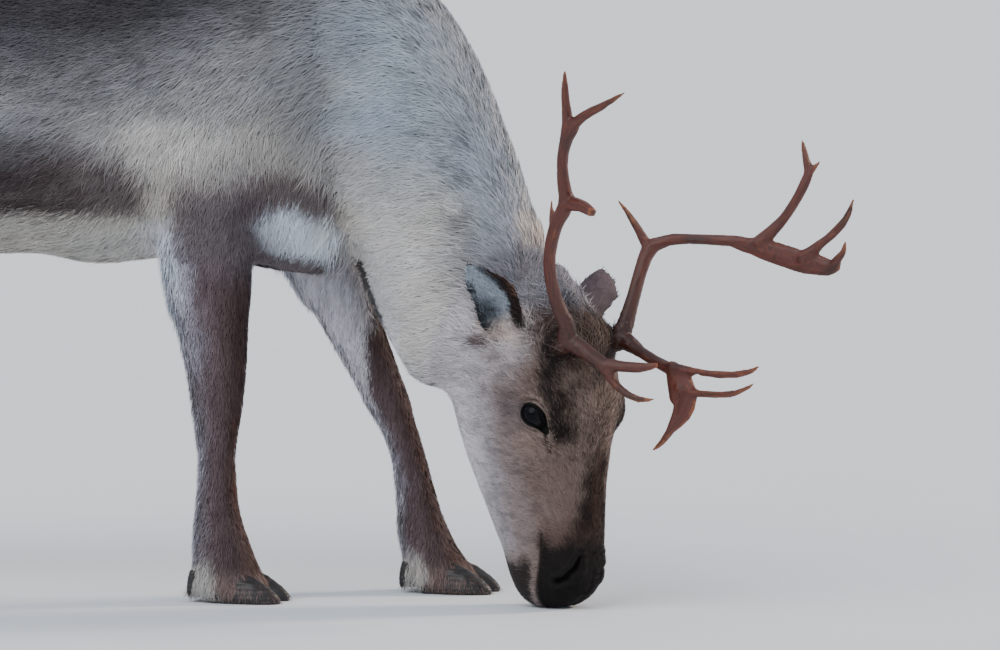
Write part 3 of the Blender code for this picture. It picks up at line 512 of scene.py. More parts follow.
def chest_coats(places, x, y, z, ragged, to_neck):
    """The brown arch over the foreleg, the white chest within it, and the dark below."""
    slant = x - 0.268 * y
    arch = np.hypot((slant - 0.056) / 0.084, (z - 0.526) / 0.074) + 4.5 * ragged
    white = np.hypot((slant - 0.073) / 0.067, (z - 0.517) / 0.040) + 3.0 * ragged
    left = 0.45 * ramp(places[:, 1], MIDDLE_Y, MIDDLE_Y + 0.06)
    under = ramp(z + 0.4 * ragged, 0.490, 0.474) * ramp(x, -0.10, -0.05) * ramp(x, 0.20, 0.15)
    under = under * ramp(z, 0.436, 0.458) * (1.0 - to_neck)
    return ((CHEST_BROWN, 0.88 * ramp(arch, 1.26, 0.82)),
            (CHEST_WHITE, (1.0 - left) * ramp(white, 1.18, 0.66)),
            (LEG_DARK, 0.85 * soft_spot(slant, z + ragged, (0.150, 0.482), (0.020, 0.014))),
            (CHEST_BROWN, 0.85 * under))


def body_colours(places):
    """Trunk and neck: dark back, grey flank, dark stripe, pale belly, arch over a white chest."""
    x, y, z = beside(places)
    ragged = 0.040 * (cloud(places * (0.5, 1.0, 1.0), 0.045) - 0.5)
    ragged += 0.022 * (cloud(places * (0.4, 1.0, 1.5), 0.014) - 0.5)
    edge = np.interp(z, (0.55, 0.62, 0.70, 0.80, 0.95), (0.175, 0.175, 0.190, 0.205, 0.24))
    to_neck = ramp((x + ragged - edge) / (1.0 + 0.9 * ramp(z, 0.70, 0.86)), -0.060, 0.055)
    arm = ramp(z + 1.2 * ragged, 0.635, 0.555) * ramp(np.abs(x - 0.010 + ragged), 0.090, 0.050)
    rump = ramp(x + ragged + 0.25 * np.maximum(y - 0.06, 0.0), -0.880, -0.930)
    colours = paint_over(
        flank_tones(x, z, ragged),
        (neck_tones(places, ragged), to_neck),
        (BELLY, ramp(z + 0.3 * ragged, 0.572, 0.536) * ramp(x, -0.015, -0.055)),
        stripe_coat(places, x, z, ragged),
        (ARM_BROWN, 0.95 * arm * ramp(y, 0.02, 0.07)),
        *chest_coats(places, x, y, z, ragged, to_neck),
        (RUMP_PALE, 0.8 * rump * ramp(z, 0.60, 0.70)))
    warm = 0.10 * (cloud(places * (0.5, 1.0, 1.0), 0.060) - 0.42)
    return colours * (1.0 + warm[:, None] * np.array((1.0, 0.25, -1.0)))


# Colours across a leg, from -1 at its back edge to 1 at its front edge

LEG_HIGH = ((-0.72, LEG_PALE), (-0.50, LEG_SOFT), (-0.28, LEG_GREY), (-0.05, LEG_BROWN),
            (0.60, LEG_BROWN * 0.75), (0.90, LEG_DARK))
LEG_MIDDLE = ((-0.85, LEG_PALE), (-0.62, LEG_SOFT), (-0.34, LEG_GREY), (0.00, LEG_BROWN),
              (0.35, LEG_DARK), (0.66, LEG_FRONT))
LEG_LOW = ((-0.94, LEG_PALE), (-0.76, LEG_SOFT), (-0.56, LEG_GREY), (-0.22, LEG_BROWN),
           (0.35, LEG_DARK), (0.75, LEG_FRONT), (1.00, LEG_WARM))


def leg_colours(leg, places, normals):
    """Pale behind and within, mixed grey to brown outside, dark in front, with a pale heel."""
    z = places[:, 2]
    ragged = 0.30 * (cloud(places * (1.0, 1.0, 0.22), 0.007) - 0.5)
    ragged += 0.22 * (cloud(places * (1.0, 1.0, 0.45), 0.022) - 0.5)
    along = leg_share(leg, places) + ragged
    high, middle, low = (stops(along, *marks) for marks in (LEG_HIGH, LEG_MIDDLE, LEG_LOW))
    inner = ramp(side_of(leg) * normals[:, 1], -0.05, 0.40) * ramp(z + 0.06 * ragged, 0.09, 0.13)
    reach = np.interp(z, (0.12, 0.22, 0.27, 0.32, 0.38, 0.42, 0.50),
                      (-0.78, -0.72, -0.50, 0.0, 0.60, 0.74, 0.90))
    cuff = ramp(z + 0.05 * ragged, 0.070, 0.038) * ramp(along, 0.15, -0.40)
    top = 0.58 if "front" in leg else 0.66
    return paint_over(
        low,
        (middle, ramp(z, 0.300, 0.380)),
        (high, ramp(z, 0.400, 0.465)),
        (LEG_DARK, 0.45 * bell(z, 0.285, 0.032) * ramp(along, -0.95, -0.6)),
        (ARM_BROWN, ramp(z, 0.44, 0.52) * ramp(along, -0.55, -0.25)),
        (LEG_DARK, 0.5 * bell(z, 0.085, 0.038) * ramp(along, -0.95, -0.4)),
        (TOE_BROWN, ramp(z, 0.052, 0.026)),
        (LEG_INNER, 0.95 * inner * ramp(along - reach, 0.22, -0.22)),
        (FOOT_CREAM, 0.9 * cuff),
        (body_colours(places), ramp(z + 0.08 * ragged, 0.50, top)))


# Lines of the face, as places down the head and to its front

NOSTRIL = ((0.338, 0.060), (0.352, 0.056), (0.366, 0.044), (0.370, 0.030))
MOUTH = ((0.306, 0.012), (0.330, 0.006), (0.355, 0.000), (0.380, -0.006), (0.420, -0.010))
CHEEK_CREASE = ((0.186, 0.043), (0.205, 0.036), (0.222, 0.026))
BROW_LINE = ((0.037, 0.066), (0.060, 0.064), (0.084, 0.054), (0.101, 0.059), (0.124, 0.067),
             (0.148, 0.068), (0.166, 0.064))
BROW_TO_NOSE = ((0.158, 0.068), (0.172, 0.084), (0.196, 0.094))
TEAR_LINE = ((0.166, 0.040), (0.178, 0.043), (0.190, 0.041))
EAR_FOOT = ((0.020, -0.024), (0.032, 0.016))


def line_distance(u, v, line):
    """How far each place is from a bent line, in two dimensions."""
    best = np.full(len(u), 9.0)
    for (u0, v0), (u1, v1) in zip(line, line[1:]):
        du, dv = u1 - u0, v1 - v0
        t = np.clip(((u - u0) * du + (v - v0) * dv) / (du * du + dv * dv), 0.0, 1.0)
        best = np.minimum(best, np.hypot(u - u0 - t * du, v - v0 - t * dv))
    return best


def nose_coats(down, fore, along, front, off, ragged):
    """The dark bridge of the nose, black muzzle, brown lip, corner of the mouth and chin."""
    outline = 0.764 * fore - 0.643 * off
    edge = np.interp(down, (0.19, 0.26, 0.30, 0.33), (0.046, 0.041, 0.020, -0.004))
    nose = ramp(outline, edge - 0.014, edge + 0.011) * ramp(down, 0.170, 0.220)
    warm = ramp(off, 0.016, 0.004) * ramp(down, 0.315, 0.285)
    behind = np.interp(down, [u for u, v in MOUTH], [v for u, v in MOUTH]) - front
    lip = ramp(down, 0.272, 0.312) * ramp(behind, 0.006, -0.006) * ramp(fore, 0.075, 0.045)
    corner = np.hypot((along - 0.318) / 1.9, front - 0.009) + 0.5 * ragged
    below = ramp(down, 0.312, 0.338) * ramp(down, 0.392, 0.366)
    chin = ramp(down, 0.325, 0.350) * ramp(behind + 0.6 * ragged, 0.007, 0.017)
    return ((blend(NOSE_DARK, LEG_WARM * 0.55, 0.5 * warm), 0.95 * nose),
            (LIP_BROWN, 0.85 * lip),
            (MUZZLE_BLACK, ramp(down, 0.304, 0.330) * ramp(behind, 0.003, -0.002)),
            (NOSE_DARK, 0.8 * ramp(corner, 0.014, 0.003)),
            (LIP_PALE, 0.62 * below * ramp(behind + 0.3 * ragged, -0.001, 0.005)),
            (MUZZLE_BLACK, 0.92 * chin))


def crown_coats(places, down, fore, off):
    """The brown forehead with dark lines in it, the mottled crown and the grey nape."""
    forehead = ramp(fore, 0.030, 0.060) * ramp(down, 0.235, 0.18) * ramp(off, 0.085, 0.072)
    lines = ramp(cloud(places * (1.0, 1.0, 0.35), 0.0038), 0.46, 0.72)
    crown = ramp(down, 0.115, 0.070) * ramp(fore, 0.010, 0.045) * ramp(off, 0.075, 0.055)
    grey = ramp(cloud(places * (1.0, 1.0, 0.5), 0.006), 0.55, 0.72)
    return ((FOREHEAD, 0.9 * forehead),
            (FOREHEAD_DARK, 0.70 * forehead * lines),
            (blend(CROWN, CROWN_LIGHT, 0.62 * grey), crown),
            (NAPE_GREY, 0.9 * ramp(down, 0.020, -0.020) * ramp(fore, -0.06, -0.02)))


def ear_foot_coats(along, front, off, ragged):
    """Round the foot of an ear: a tan spot below it, a cream line and a brown spot."""
    aside = ramp(off, 0.03, 0.05)
    tan = soft_spot(along, front, (0.056, -0.026), (0.013, 0.026))
    cream = ramp(line_distance(along, front, EAR_FOOT) + 0.5 * ragged, 0.018, 0.008)
    brown = ramp(np.hypot((along - 0.036) / 0.7, front + 0.044) + 0.4 * ragged, 0.019, 0.008)
    return ((CHEEK_TAN * 0.85, 0.75 * tan * aside),
            (EAR_CREAM, 0.8 * cream * aside),
            (EAR_BROWN, 0.9 * brown * aside))


def brow_coat(places, along, front, off, ragged):
    """The dark brow and its link to the nose, with paler hairs through it. By the antlers' feet the
    brow's dark is partly painted shade of the antlers.
    """
    # By the antlers' feet this dark line is partly painted shade of the antlers.
    brow = ramp(line_distance(along, front, BROW_LINE) + 0.6 * ragged, 0.0225, 0.005)
    link = ramp(line_distance(along, front, BROW_TO_NOSE) + 0.5 * ragged, 0.016, 0.003)
    hairs = ramp(cloud(places * (1.0, 1.0, 0.4) + 2.0, 0.0036), 0.52, 0.72)
    brow = np.maximum(brow, 0.65 * link) * (1.0 - 0.35 * hairs)
    return BROW, 0.96 * brow * ramp(off, 0.026, 0.042)


def lid_coats(places, along, front, ragged):
    """Tan rolls round the eye, darker behind it, painted shade in their groove, and black lids."""
    lids = eye_gap(places)
    rear = ramp(front, 0.022, 0.006)
    ring = ramp(lids + 0.4 * ragged, 0.0175 - 0.005 * rear, 0.0100 - 0.004 * rear)
    # The darker brown in the groove between the rolls is painted shade.
    groove = bell(lids, 0.0078, 0.0016) * (1.0 - rear)
    rolls = paint_over(LID_TAN, (TEMPLE * 0.8, rear), (FACE_BROWN * 0.55, 0.6 * groove))
    tear = ramp(line_distance(along, front, TEAR_LINE) + 0.1 * ragged, 0.0036, 0.0012)
    return (rolls, 0.85 * ring), (BROW, 0.9 * tear), (LID_BLACK, ramp(lids, 0.0042, 0.0026))


def head_colours(places):
    """Pale jaw to brown forehead, dark brow and nose bridge, black muzzle and lids, and painted shade in
    the fold of the cheek.
    """
    along, right, front = head_places(places)
    off = np.abs(right)
    ragged = 0.012 * (cloud(places, 0.006) - 0.5) + 0.014 * (cloud(places, 0.022) - 0.5)
    down, fore = along + ragged, front + ragged
    return paint_over(
        stops(fore, (-0.105, JAW_PALE), (-0.065, CHEEK_GREY), (-0.030, CHEEK_TAN),
              (0.015, FACE_TAN), (0.055, FACE_BROWN), (0.080, FOREHEAD)),
        (JAW_PALE, 0.65 * ramp(down, 0.115, 0.05) * ramp(fore, 0.050, 0.015)),
        (TEMPLE, 0.65 * soft_spot(along, front, (0.128, -0.011), (0.036, 0.021))),
        (FACE_BROWN, 0.8 * soft_spot(along, front, (0.090, 0.030), (0.030, 0.022))),
        (UNDER_EYE, 0.65 * soft_spot(along, front, (0.180, 0.018), (0.020, 0.026))),
        *crown_coats(places, down, fore, off),
        # A darker brown in the fold of the cheek: painted shade.
        (FACE_BROWN * 0.85, 0.65 * soft_spot(along, front, (0.236, 0.012), (0.022, 0.018))),
        *ear_foot_coats(along, front, off, ragged),
        *nose_coats(down, fore, along, front, off, ragged),
        brow_coat(places, along, front, off, ragged),
        *lid_coats(places, along, front, ragged))


def ear_places(ear, places):
    """Share of the way up an ear, and how far across it towards the front."""
    root, tip = EAR_ENDS[ear]
    length = np.linalg.norm(tip - root)
    way = (tip - root) / length
    away = places - root
    return away @ way / length, side_of(ear) * away @ np.cross(way, EAR_FACES[ear])


def ear_colours(ear, places, normals):
    """Grey-brown back and front rim with painted warm rim light on its outer edge, and a hollow with
    pale hair round a dark middle of painted shade, with more painted shade inside its edges.
    """
    up, across = ear_places(ear, places)
    rear = 0.36 * ramp(across, -0.006, -0.016)
    inside = ramp(dot(normals, EAR_FACES[ear]) + rear, 0.0, 0.30)
    ragged = 0.008 * (cloud(places, 0.005) - 0.5)
    edge = np.interp(up, (0.0, 0.28, 0.45, 0.72, 0.93, 1.0), (0.03, 0.038, 0.046, 0.041, 0.024, 0.004))
    band = np.interp(up, (0.15, 0.30, 0.50, 0.70, 0.88, 1.0), (0.026, 0.026, 0.019, 0.012, 0.010, 0.009))
    rim = ramp(across + 0.4 * ragged - edge + band, -0.003, 0.003)
    # The rim's outer edge turns warm orange: painted rim light.
    brim = blend(EAR_RIM, EAR_RIM_LIGHT, 0.6 * ramp(across - edge + ragged, -0.005, 0.001))
    back = blend(EAR_BACK, brim, (0.95 if ear == "ear_right" else 0.15) * rim)
    # The near-black laid into the hollow is painted shade: in its middle, inside its rear edge and under
    # the rim.
    middle = 0.95 * soft_spot(up, across + 1.8 * ragged, (0.43, -0.012), (0.19, 0.014))
    brink = np.interp(up, (0.20, 0.45, 0.65, 0.80), (0.020, 0.017, 0.012, 0.008))
    behind = (ramp(-across + 0.5 * ragged - brink, -0.003, 0.004)
              * ramp(up + 6.0 * ragged, 0.16, 0.30) * ramp(up, 0.88, 0.76))
    before = (ramp(up, 0.50, 0.62) * ramp(up, 1.0, 0.85)
              * bell(across - edge + band + 0.5 * ragged, -0.003, 0.0045))
    hollow = paint_over(
        EAR_INSIDE,
        (EAR_CREAM, ramp(up + 8.0 * ragged, 0.38, 0.20)),
        (EAR_HOLLOW_SHADE, 0.93 * np.maximum(np.maximum(middle, behind), before)),
        (EAR_BROWN, 0.9 * soft_spot(up, across, (0.10, -0.030), (0.07, 0.012))),
        (brim, rim))
    return blend(back, hollow, inside)


def part_colours(part, places, normals):
    """The colours of one part of the body."""
    if part in LEGS:
        return leg_colours(part, places, normals)
    if part in EARS:
        return ear_colours(part, places, normals)
    if part == "head":
        return head_colours(places)
    if part == "tail":
        return blend(RUMP_PALE, BACK_GREY, 0.8 * ramp(normals[:, 0], -0.2, -0.8))
    return body_colours(places)


def markings(places, normals, shares):
    """The coat's colour at each place, from how much each part of the body owns it."""
    total = np.zeros((len(places), 3))
    for number, part in enumerate(PARTS):
        mine = np.flatnonzero(shares[:, number] > 0.002)
        if len(mine):
            colours = part_colours(part, places[mine], normals[mine])
            total[mine] += shares[mine, number][:, None] * colours
    return total


# Eyes: where they sit and the shape of the gap between the lids

def eye_centre(eye):
    """The middle of an eyeball, a little further out and back than the solid's."""
    low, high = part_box(eye)
    bulge = 0.005 * HEAD_RIGHT * side_of(eye)
    return np.array((low + high) / 2) + bulge - 0.004 * HEAD_FRONT


def eye_radius():
    """The eyeballs' radius, the same on both sides."""
    low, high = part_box("eye_left")
    return (high - low).y / 2


EYE_CENTRES = {eye: eye_centre(eye) for eye in EYES}
EYE_RADIUS = eye_radius()
LID_ROUND = 0.0118
LID_LENGTH = 0.0172
LID_CORNER = 0.0135
LID_TURN = -0.25
LID_THICK = 0.0016


def eye_axes(eye):
    """Out of the eye, towards its inner corner, and across the gap towards the brow."""
    side = side_of(eye)
    out = unit(side * 0.93 * HEAD_RIGHT + 0.36 * HEAD_FRONT)
    corner = 0.67 * HEAD_DOWN - side * 0.27 * HEAD_RIGHT + 0.69 * HEAD_FRONT
    corner = unit(corner - dot(corner, out) * out)
    brow = unit(np.cross(out, corner))
    if dot(brow, HEAD_FRONT) < 0:
        brow = -brow
    return out, corner, brow


def gap_edge(turn):
    """How far the lids' edge lies from the eye's middle, by the turn from the inner corner."""
    around = np.arctan2(np.sin(turn - LID_TURN), np.cos(turn - LID_TURN))
    oval = 1.0 / np.sqrt((np.cos(turn) / LID_LENGTH) ** 2 + (np.sin(turn) / LID_ROUND) ** 2)
    return oval + LID_CORNER * bell(around, 0.0, 0.30)


def eye_plan(places, eye):
    """Distance out of the eye's middle, across it, the turn round it, and the gap's edge."""
    out, corner, brow = eye_axes(eye)
    away = places - EYE_CENTRES[eye]
    u, v = away @ corner, away @ brow
    turn = np.arctan2(v, u)
    return away @ out, np.hypot(u, v), turn, gap_edge(turn)


def eye_gap(places):
    """How far outside the nearer eye's lids each place is. It is negative in the gap."""
    best = np.full(len(places), 1.0)
    for eye in EYES:
        out, across, _, edge = eye_plan(places, eye)
        best = np.where(out > -0.01, np.minimum(best, across - edge), best)
    return best


EAR_HOLLOWS = {"ear_right": (0.62, 0.30, 0.50), "ear_left": (0.82, -0.22, 0.50)}


def ear_frame(ear):
    """Root and tip of an ear, and the way its hollow faces."""
    side = side_of(ear)
    points = read_points(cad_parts[ear].data)
    reach = (points - POLL) @ (side * HEAD_RIGHT - 0.9 * HEAD_DOWN)
    order = np.argsort(reach)
    few = max(len(points) // 12, 4)
    root, tip = points[order[:few]].mean(axis=0), points[order[-few:]].mean(axis=0)
    way = unit(tip - root)
    outward, forward, downward = EAR_HOLLOWS[ear]
    hollow = side * outward * HEAD_RIGHT + forward * HEAD_FRONT + downward * HEAD_DOWN
    return (root, tip), unit(hollow - dot(hollow, way) * way)


EAR_ENDS, EAR_FACES = {}, {}
for ear in EARS:
    EAR_ENDS[ear], EAR_FACES[ear] = ear_frame(ear)


def shape_ears(points, shares):
    """Ears rounder at the front edge than the solids, the left one a little further back."""
    for ear in EARS:
        mine = np.flatnonzero(shares[:, PARTS.index(ear)] > 0.02)
        up, across = ear_places(ear, points[mine])
        root, tip = EAR_ENDS[ear]
        over = side_of(ear) * np.cross(unit(tip - root), EAR_FACES[ear])
        free = ramp(up, 0.06, 0.32)
        left = float(ear == "ear_left")
        swell = (0.011 - 0.003 * left) * bell(up, 0.66, 0.26) * free
        swell += 0.06 * free * across + 0.008 * left * ramp(up, 0.68, 1.0)
        swell = swell * ramp(shares[mine, PARTS.index(ear)], 0.0, 0.5)
        points[mine] += swell[:, None] * over
        points[mine] -= left * free[:, None] * (0.014 * HEAD_FRONT + 0.008 * HEAD_DOWN)
    return points


# Depth, length and lie of the coat

COAT_DEPTH = {"head": 0.0026, "neck": 0.010, "trunk": 0.010, "tail": 0.012,
              **dict.fromkeys(LEGS, 0.0045), **dict.fromkeys(EARS, 0.0010)}
TRUNK_HAIR = 0.034
TAIL_HAIR = 0.050
EAR_HAIR = 0.011


def coat_depth(places, shares):
    """How far the coat stands off the skin, deepest on the throat and the crown."""
    depth = shares @ np.array([COAT_DEPTH[part] for part in PARTS])
    legs = shares[:, LEG_COLUMNS].sum(axis=1)
    depth = depth + 0.004 * legs * ramp(places[:, 2], 0.40, 0.60)
    depth = depth + 0.014 * shares[:, NECK] * ramp(neck_share(places), 0.30, 0.0)
    along, right, front = head_places(places)
    crown = shares[:, HEAD] * ramp(along, 0.08, 0.00) * ramp(np.abs(right), 0.085, 0.05)
    return depth + 0.010 * crown * ramp(front, -0.02, 0.03)


def hair_length(places, shares):
    """The length of the hair, longest on tail and throat, shortest on the muzzle."""
    z = places[:, 2]
    leg = np.interp(z, (0.03, 0.10, 0.30, 0.50, 0.62), (0.019, 0.014, 0.014, 0.020, 0.030))
    neck = 0.036 + 0.030 * ramp(neck_share(places), 0.22, 0.0)
    along, _, front = head_places(places)
    head = np.interp(along, (0.0, 0.07, 0.14, 0.26, 0.34, 0.41),
                     (0.022, 0.017, 0.0110, 0.0085, 0.0065, 0.0045))
    head = head * (1.0 + 0.5 * ramp(front, -0.05, -0.10) * ramp(along, 0.30, 0.15))
    trunk, tail, ear = (np.full(len(z), length) for length in (TRUNK_HAIR, TAIL_HAIR, EAR_HAIR))
    return (shares * np.stack([head, neck, trunk, tail] + [leg] * 4 + [ear] * 2, axis=1)).sum(axis=1)


def leg_lie(leg, places):
    z = places[:, 2]
    back = 0.10 + 0.5 * ramp(z, 0.40, 0.60)
    flare = 0.45 * ramp(z, 0.10, 0.03) * leg_share(leg, places)
    return np.stack([flare - back, np.zeros(len(z)), -np.ones(len(z))], axis=1)


def trunk_lie(places):
    x, _, z = beside(places)
    steep = np.interp(z, (0.50, 0.60, 0.64, 0.69, 0.74, 0.80), (90, 84, 72, 44, 30, 18))
    ahead = ramp(x, -0.21, -0.075)
    steep = np.radians(steep) * ahead + math.radians(15.0) * (1.0 - ahead)
    steep = steep * ramp(z, 0.99, 0.88) + 0.05
    steep = steep + 0.7 * ramp(x, -0.70, -0.90)
    return np.stack([-np.cos(steep), np.zeros(len(x)), -np.sin(steep)], axis=1)


def neck_lie(places):
    across = neck_share(places)
    ahead = places[:, 0] - FOOT_X
    rise = np.radians(-22.0) + np.radians(84.0) * np.clip(across, 0.0, 1.0) ** 2.2
    rise = rise * ramp(ahead, 0.10, 0.24) + np.radians(-16.0) * ramp(ahead, 0.24, 0.10)
    return np.stack([-np.cos(rise), 0.15 * np.sin(rise), np.sin(rise)], axis=1)


def head_lie(places):
    along, right, front = head_places(places)
    side = np.tanh(right / 0.012)
    cheek = ramp(front, 0.070, 0.015)
    up = 1.0 - 0.45 * cheek
    back = 0.90 * cheek
    fan = 0.55 * (1.0 - cheek) * ramp(along, 0.26, 0.14)
    return (-up[:, None] * HEAD_DOWN - back[:, None] * HEAD_FRONT
            + (fan * side)[:, None] * HEAD_RIGHT)


def lie_of_coat(places, normals, shares):
    """The way the hair lies, along the surface, at each place."""
    total = np.zeros((len(places), 3))
    for number, part in enumerate(PARTS):
        share = shares[:, number][:, None]
        if part in LEGS:
            way = leg_lie(part, places)
        elif part in EARS:
            root, tip = EAR_ENDS[part]
            way = 1.1 * tip - 0.1 * root - places
        elif part == "tail":
            way = np.tile((0.1, 0.0, -1.0), (len(places), 1))
        else:
            way = {"head": head_lie, "neck": neck_lie, "trunk": trunk_lie}[part](places)
        total += share * unit(way)
    total -= dot(total, normals)[:, None] * normals
    return unit(total)


# The skin: one surface under the coat

ANTLER_ASIDE = 0.055
SOCKET_PLUGS = ((0.050, 0.060, 0.018), (0.045, 0.074, 0.0165))


def skin_plugs(bm):
    """Balls that close the sockets of the antlers, so the skin runs on under them."""
    for side in (1.0, -1.0):
        for along, front, radius in SOCKET_PLUGS:
            place = Matrix.Translation(on_head(along, side * ANTLER_ASIDE, front))
            bmesh.ops.create_icosphere(bm, subdivisions=2, radius=radius, matrix=place)


HOOVES = [f"{kind}{leg[3:]}_{which}" for leg in LEGS for kind in ("hoof", "dewclaw")
          for which in ("outer", "inner")]

# How much each of PARTS is smoothed, and how many rounds of it the body and its seams get

SMOOTHING = np.array([0.10, 0.8, 1.0, 0.6] + [0.30] * 4 + [0.06] * 2)
BODY_ROUNDS = 34
JAW_ROUNDS = 90
SHOULDER_ROUNDS = 70
CREST_RISE = 0.012
SKIN_FLOOR = 0.0035


def smooth_shares(labels, web, rounds):
    """How much each part owns each point, evened out so that parts run into each other."""
    shares = np.zeros((len(labels), len(PARTS)))
    shares[np.arange(len(labels)), labels] = 1.0
    return relax(shares, web, rounds)


def whole_skin():
    """The flesh as one closed surface, drawn in by the depth of the coat."""
    names = list(PARTS) + HOOVES + list(EYES)
    skin = join_nodes("skin", names, skin_plugs)
    voxel_skin(skin, SKIN_GRAIN)
    mesh = skin.data
    points = read_points(mesh)
    web = neighbour_web(read_edges(mesh), len(points))
    labels = nearest_labels(points, names)
    horny = ((labels >= len(PARTS)) & (labels < len(PARTS) + len(HOOVES))).astype(float)
    owner = [PARTS.index(leg) for leg in LEGS for _ in range(4)] + [HEAD] * len(EYES)
    owner = np.array(list(range(len(PARTS))) + owner)
    shares = smooth_shares(owner[labels], web, 14)
    calm = shares @ SMOOTHING
    points = relax(points, web, BODY_ROUNDS, calm)
    along, right, front = head_places(points)
    jaw_valley = ramp(np.abs(along - 0.040), 0.085, 0.045) * ramp(front, -0.020, -0.050)
    points = relax(points, web, JAW_ROUNDS, jaw_valley)
    both = 4.0 * shares[:, NECK:NECK + 1] * shares[:, TRUNK:TRUNK + 1]
    seam = relax(np.clip(both, 0.0, 1.0), web, 25)
    points = relax(points, web, SHOULDER_ROUNDS, np.clip(2.5 * seam[:, 0], 0.0, 1.0))
    points = shape_ears(points, shares)
    write_points(mesh, points)
    crest = bell(points[:, 2], 0.497, 0.034) * ramp(neck_share(points), 0.65, 0.92)
    crest = crest * (shares[:, NECK] + shares[:, HEAD] * ramp(np.abs(right), 0.085, 0.06))
    points = points + read_normals(mesh) * (CREST_RISE * crest)[:, None]
    write_points(mesh, points)
    depth = coat_depth(points, shares) * (1.0 - 0.5 * relax(horny[:, None], web, 3)[:, 0])
    depth = relax(depth[:, None], web, 6)
    points = points - read_normals(mesh) * depth
    points = relax(points, web, 3, 0.4 * calm)
    points[:, 2] = np.maximum(points[:, 2], SKIN_FLOOR)
    write_points(mesh, points)
    thin_body(skin, shares)
    return skin


def thin_body(skin, shares):
    """Fewer, larger faces on the body, where hair hides them, and none lost on the head."""
    body = 1.0 - shares[:, HEAD] - shares[:, EAR_COLUMNS].sum(axis=1)
    group = skin.vertex_groups.new(name="body")
    steps = np.clip(np.round(body * 4), 0, 4).astype(int)
    for step in range(1, 5):
        group.add(np.flatnonzero(steps == step).tolist(), step / 4, "REPLACE")
    thin = skin.modifiers.new("thinner body", "DECIMATE")
    thin.ratio = BODY_SHARE
    thin.vertex_group = "body"
    settle(skin)


def face_near(points):
    """How close each point is to what needs fine faces: 2 on lids, nostrils and mouth."""
    along, right, front = head_places(points)
    on_face = (np.abs(right) < 0.10) & (np.abs(front) < 0.16)
    eyes = np.minimum(*[np.linalg.norm(points - EYE_CENTRES[eye], axis=1) for eye in EYES])
    lines = np.minimum(nostril_gap(along, front), line_distance(along, front, MOUTH))
    fine = (((eyes < 0.056) | (along > 0.29)) & on_face).astype(int)
    return fine + (((eyes < 0.036) | ((lines < 0.010) & (along > 0.28))) & on_face).astype(int)


def refine_face(skin):
    """Split the faces round the eyes and on the muzzle, twice at the lids and the nose."""
    with edited(skin.data) as bm:
        for level in (1, 2):
            near = face_near(np.array([vert.co[:] for vert in bm.verts])) >= level
            bm.edges.ensure_lookup_table()
            chosen = [edge for edge in bm.edges
                      if near[edge.verts[0].index] and near[edge.verts[1].index]]
            bmesh.ops.subdivide_edges(bm, edges=chosen, cuts=1, use_grid_fill=True)
            bm.verts.index_update()
    skin.data.update()


def nostril_gap(along, front):
    """How far outside the comma of the nostril each place is. It is negative within."""
    return line_distance(along, front, NOSTRIL) - np.interp(along, (0.338, 0.366), (0.0020, 0.0058))


def shape_face(points, normals):
    """Lids round the eyes, nostrils, the line of the mouth, and folds in the skin."""
    along, right, front = head_places(points)
    on_face = (along > 0.02) & (along < NOSE_LENGTH + 0.02)
    for eye in EYES:
        points = shape_lids(points, eye)
    off = np.abs(right)
    side = ramp(off, 0.012, 0.022) * on_face
    slit = nostril_gap(along, front)
    rim = 0.0026 * bell(slit, 0.0030, 0.0032)
    pit = 0.0125 * ramp(slit, 0.0, -0.0032)
    mouth = line_distance(along, front, MOUTH)
    lips = 0.0012 * ramp(np.abs(mouth - 0.0050), 0.0045, 0.0) - 0.0038 * ramp(mouth, 0.0024, 0.0004)
    fold = -0.0016 * ramp(line_distance(along, front, CHEEK_CREASE), 0.0045, 0.0)
    hollow = -0.0030 * soft_spot(along, front, (0.235, 0.028), (0.035, 0.022))
    ridge = 0.0020 * soft_spot(along, front, (0.205, 0.002), (0.060, 0.011))
    shift = side * (rim - pit + lips + fold + hollow + ridge)
    centre = ramp(off, 0.0030, 0.0006) * ramp(along, 0.345, 0.36) * on_face * (front > 0)
    return points + normals * (shift - 0.0014 * centre)[:, None]


# Each fold of a lid: how far outside its edge, and how high

LID_FOLDS = ((0.0042, -0.0010), (0.0068, 0.0010), (0.0098, -0.0009), (0.0130, 0.0008))


def shape_lids(points, eye):
    """Lids that lie on the eyeball, with a round edge, a gap between them, and folds above."""
    depth, across, turn, edge = eye_plan(points, eye)
    near = (np.linalg.norm(points - EYE_CENTRES[eye], axis=1) < 0.050) & (depth > -0.004)
    gap = across - edge
    on_ball = np.sqrt(np.maximum((EYE_RADIUS + LID_THICK) ** 2 - across ** 2, 0.0))
    lid = np.maximum(on_ball, 0.0045 + 0.55 * (EYE_RADIUS - across) * (across < EYE_RADIUS))
    folds = np.zeros(len(points))
    upper = ramp(np.sin(turn), -0.1, 0.4)
    for place, height in LID_FOLDS:
        folds += height * bell(gap, place, 0.0014) * (0.25 + 0.75 * upper)
    hug = ramp(gap, 0.0150, 0.0030)
    target = depth * (1.0 - hug) + np.minimum(lid, np.maximum(depth, lid)) * hug + folds
    target = target + 0.0011 * bell(gap, 0.0011, 0.0011)
    behind = np.where(across < 0.016, 0.0085, 0.0030 * ramp(across, 0.030, 0.017) + 0.0015)
    target = target - ramp(gap, 0.0004, -0.0012) * behind
    return points + (np.where(near, target - depth, 0.0))[:, None] * eye_axes(eye)[0]


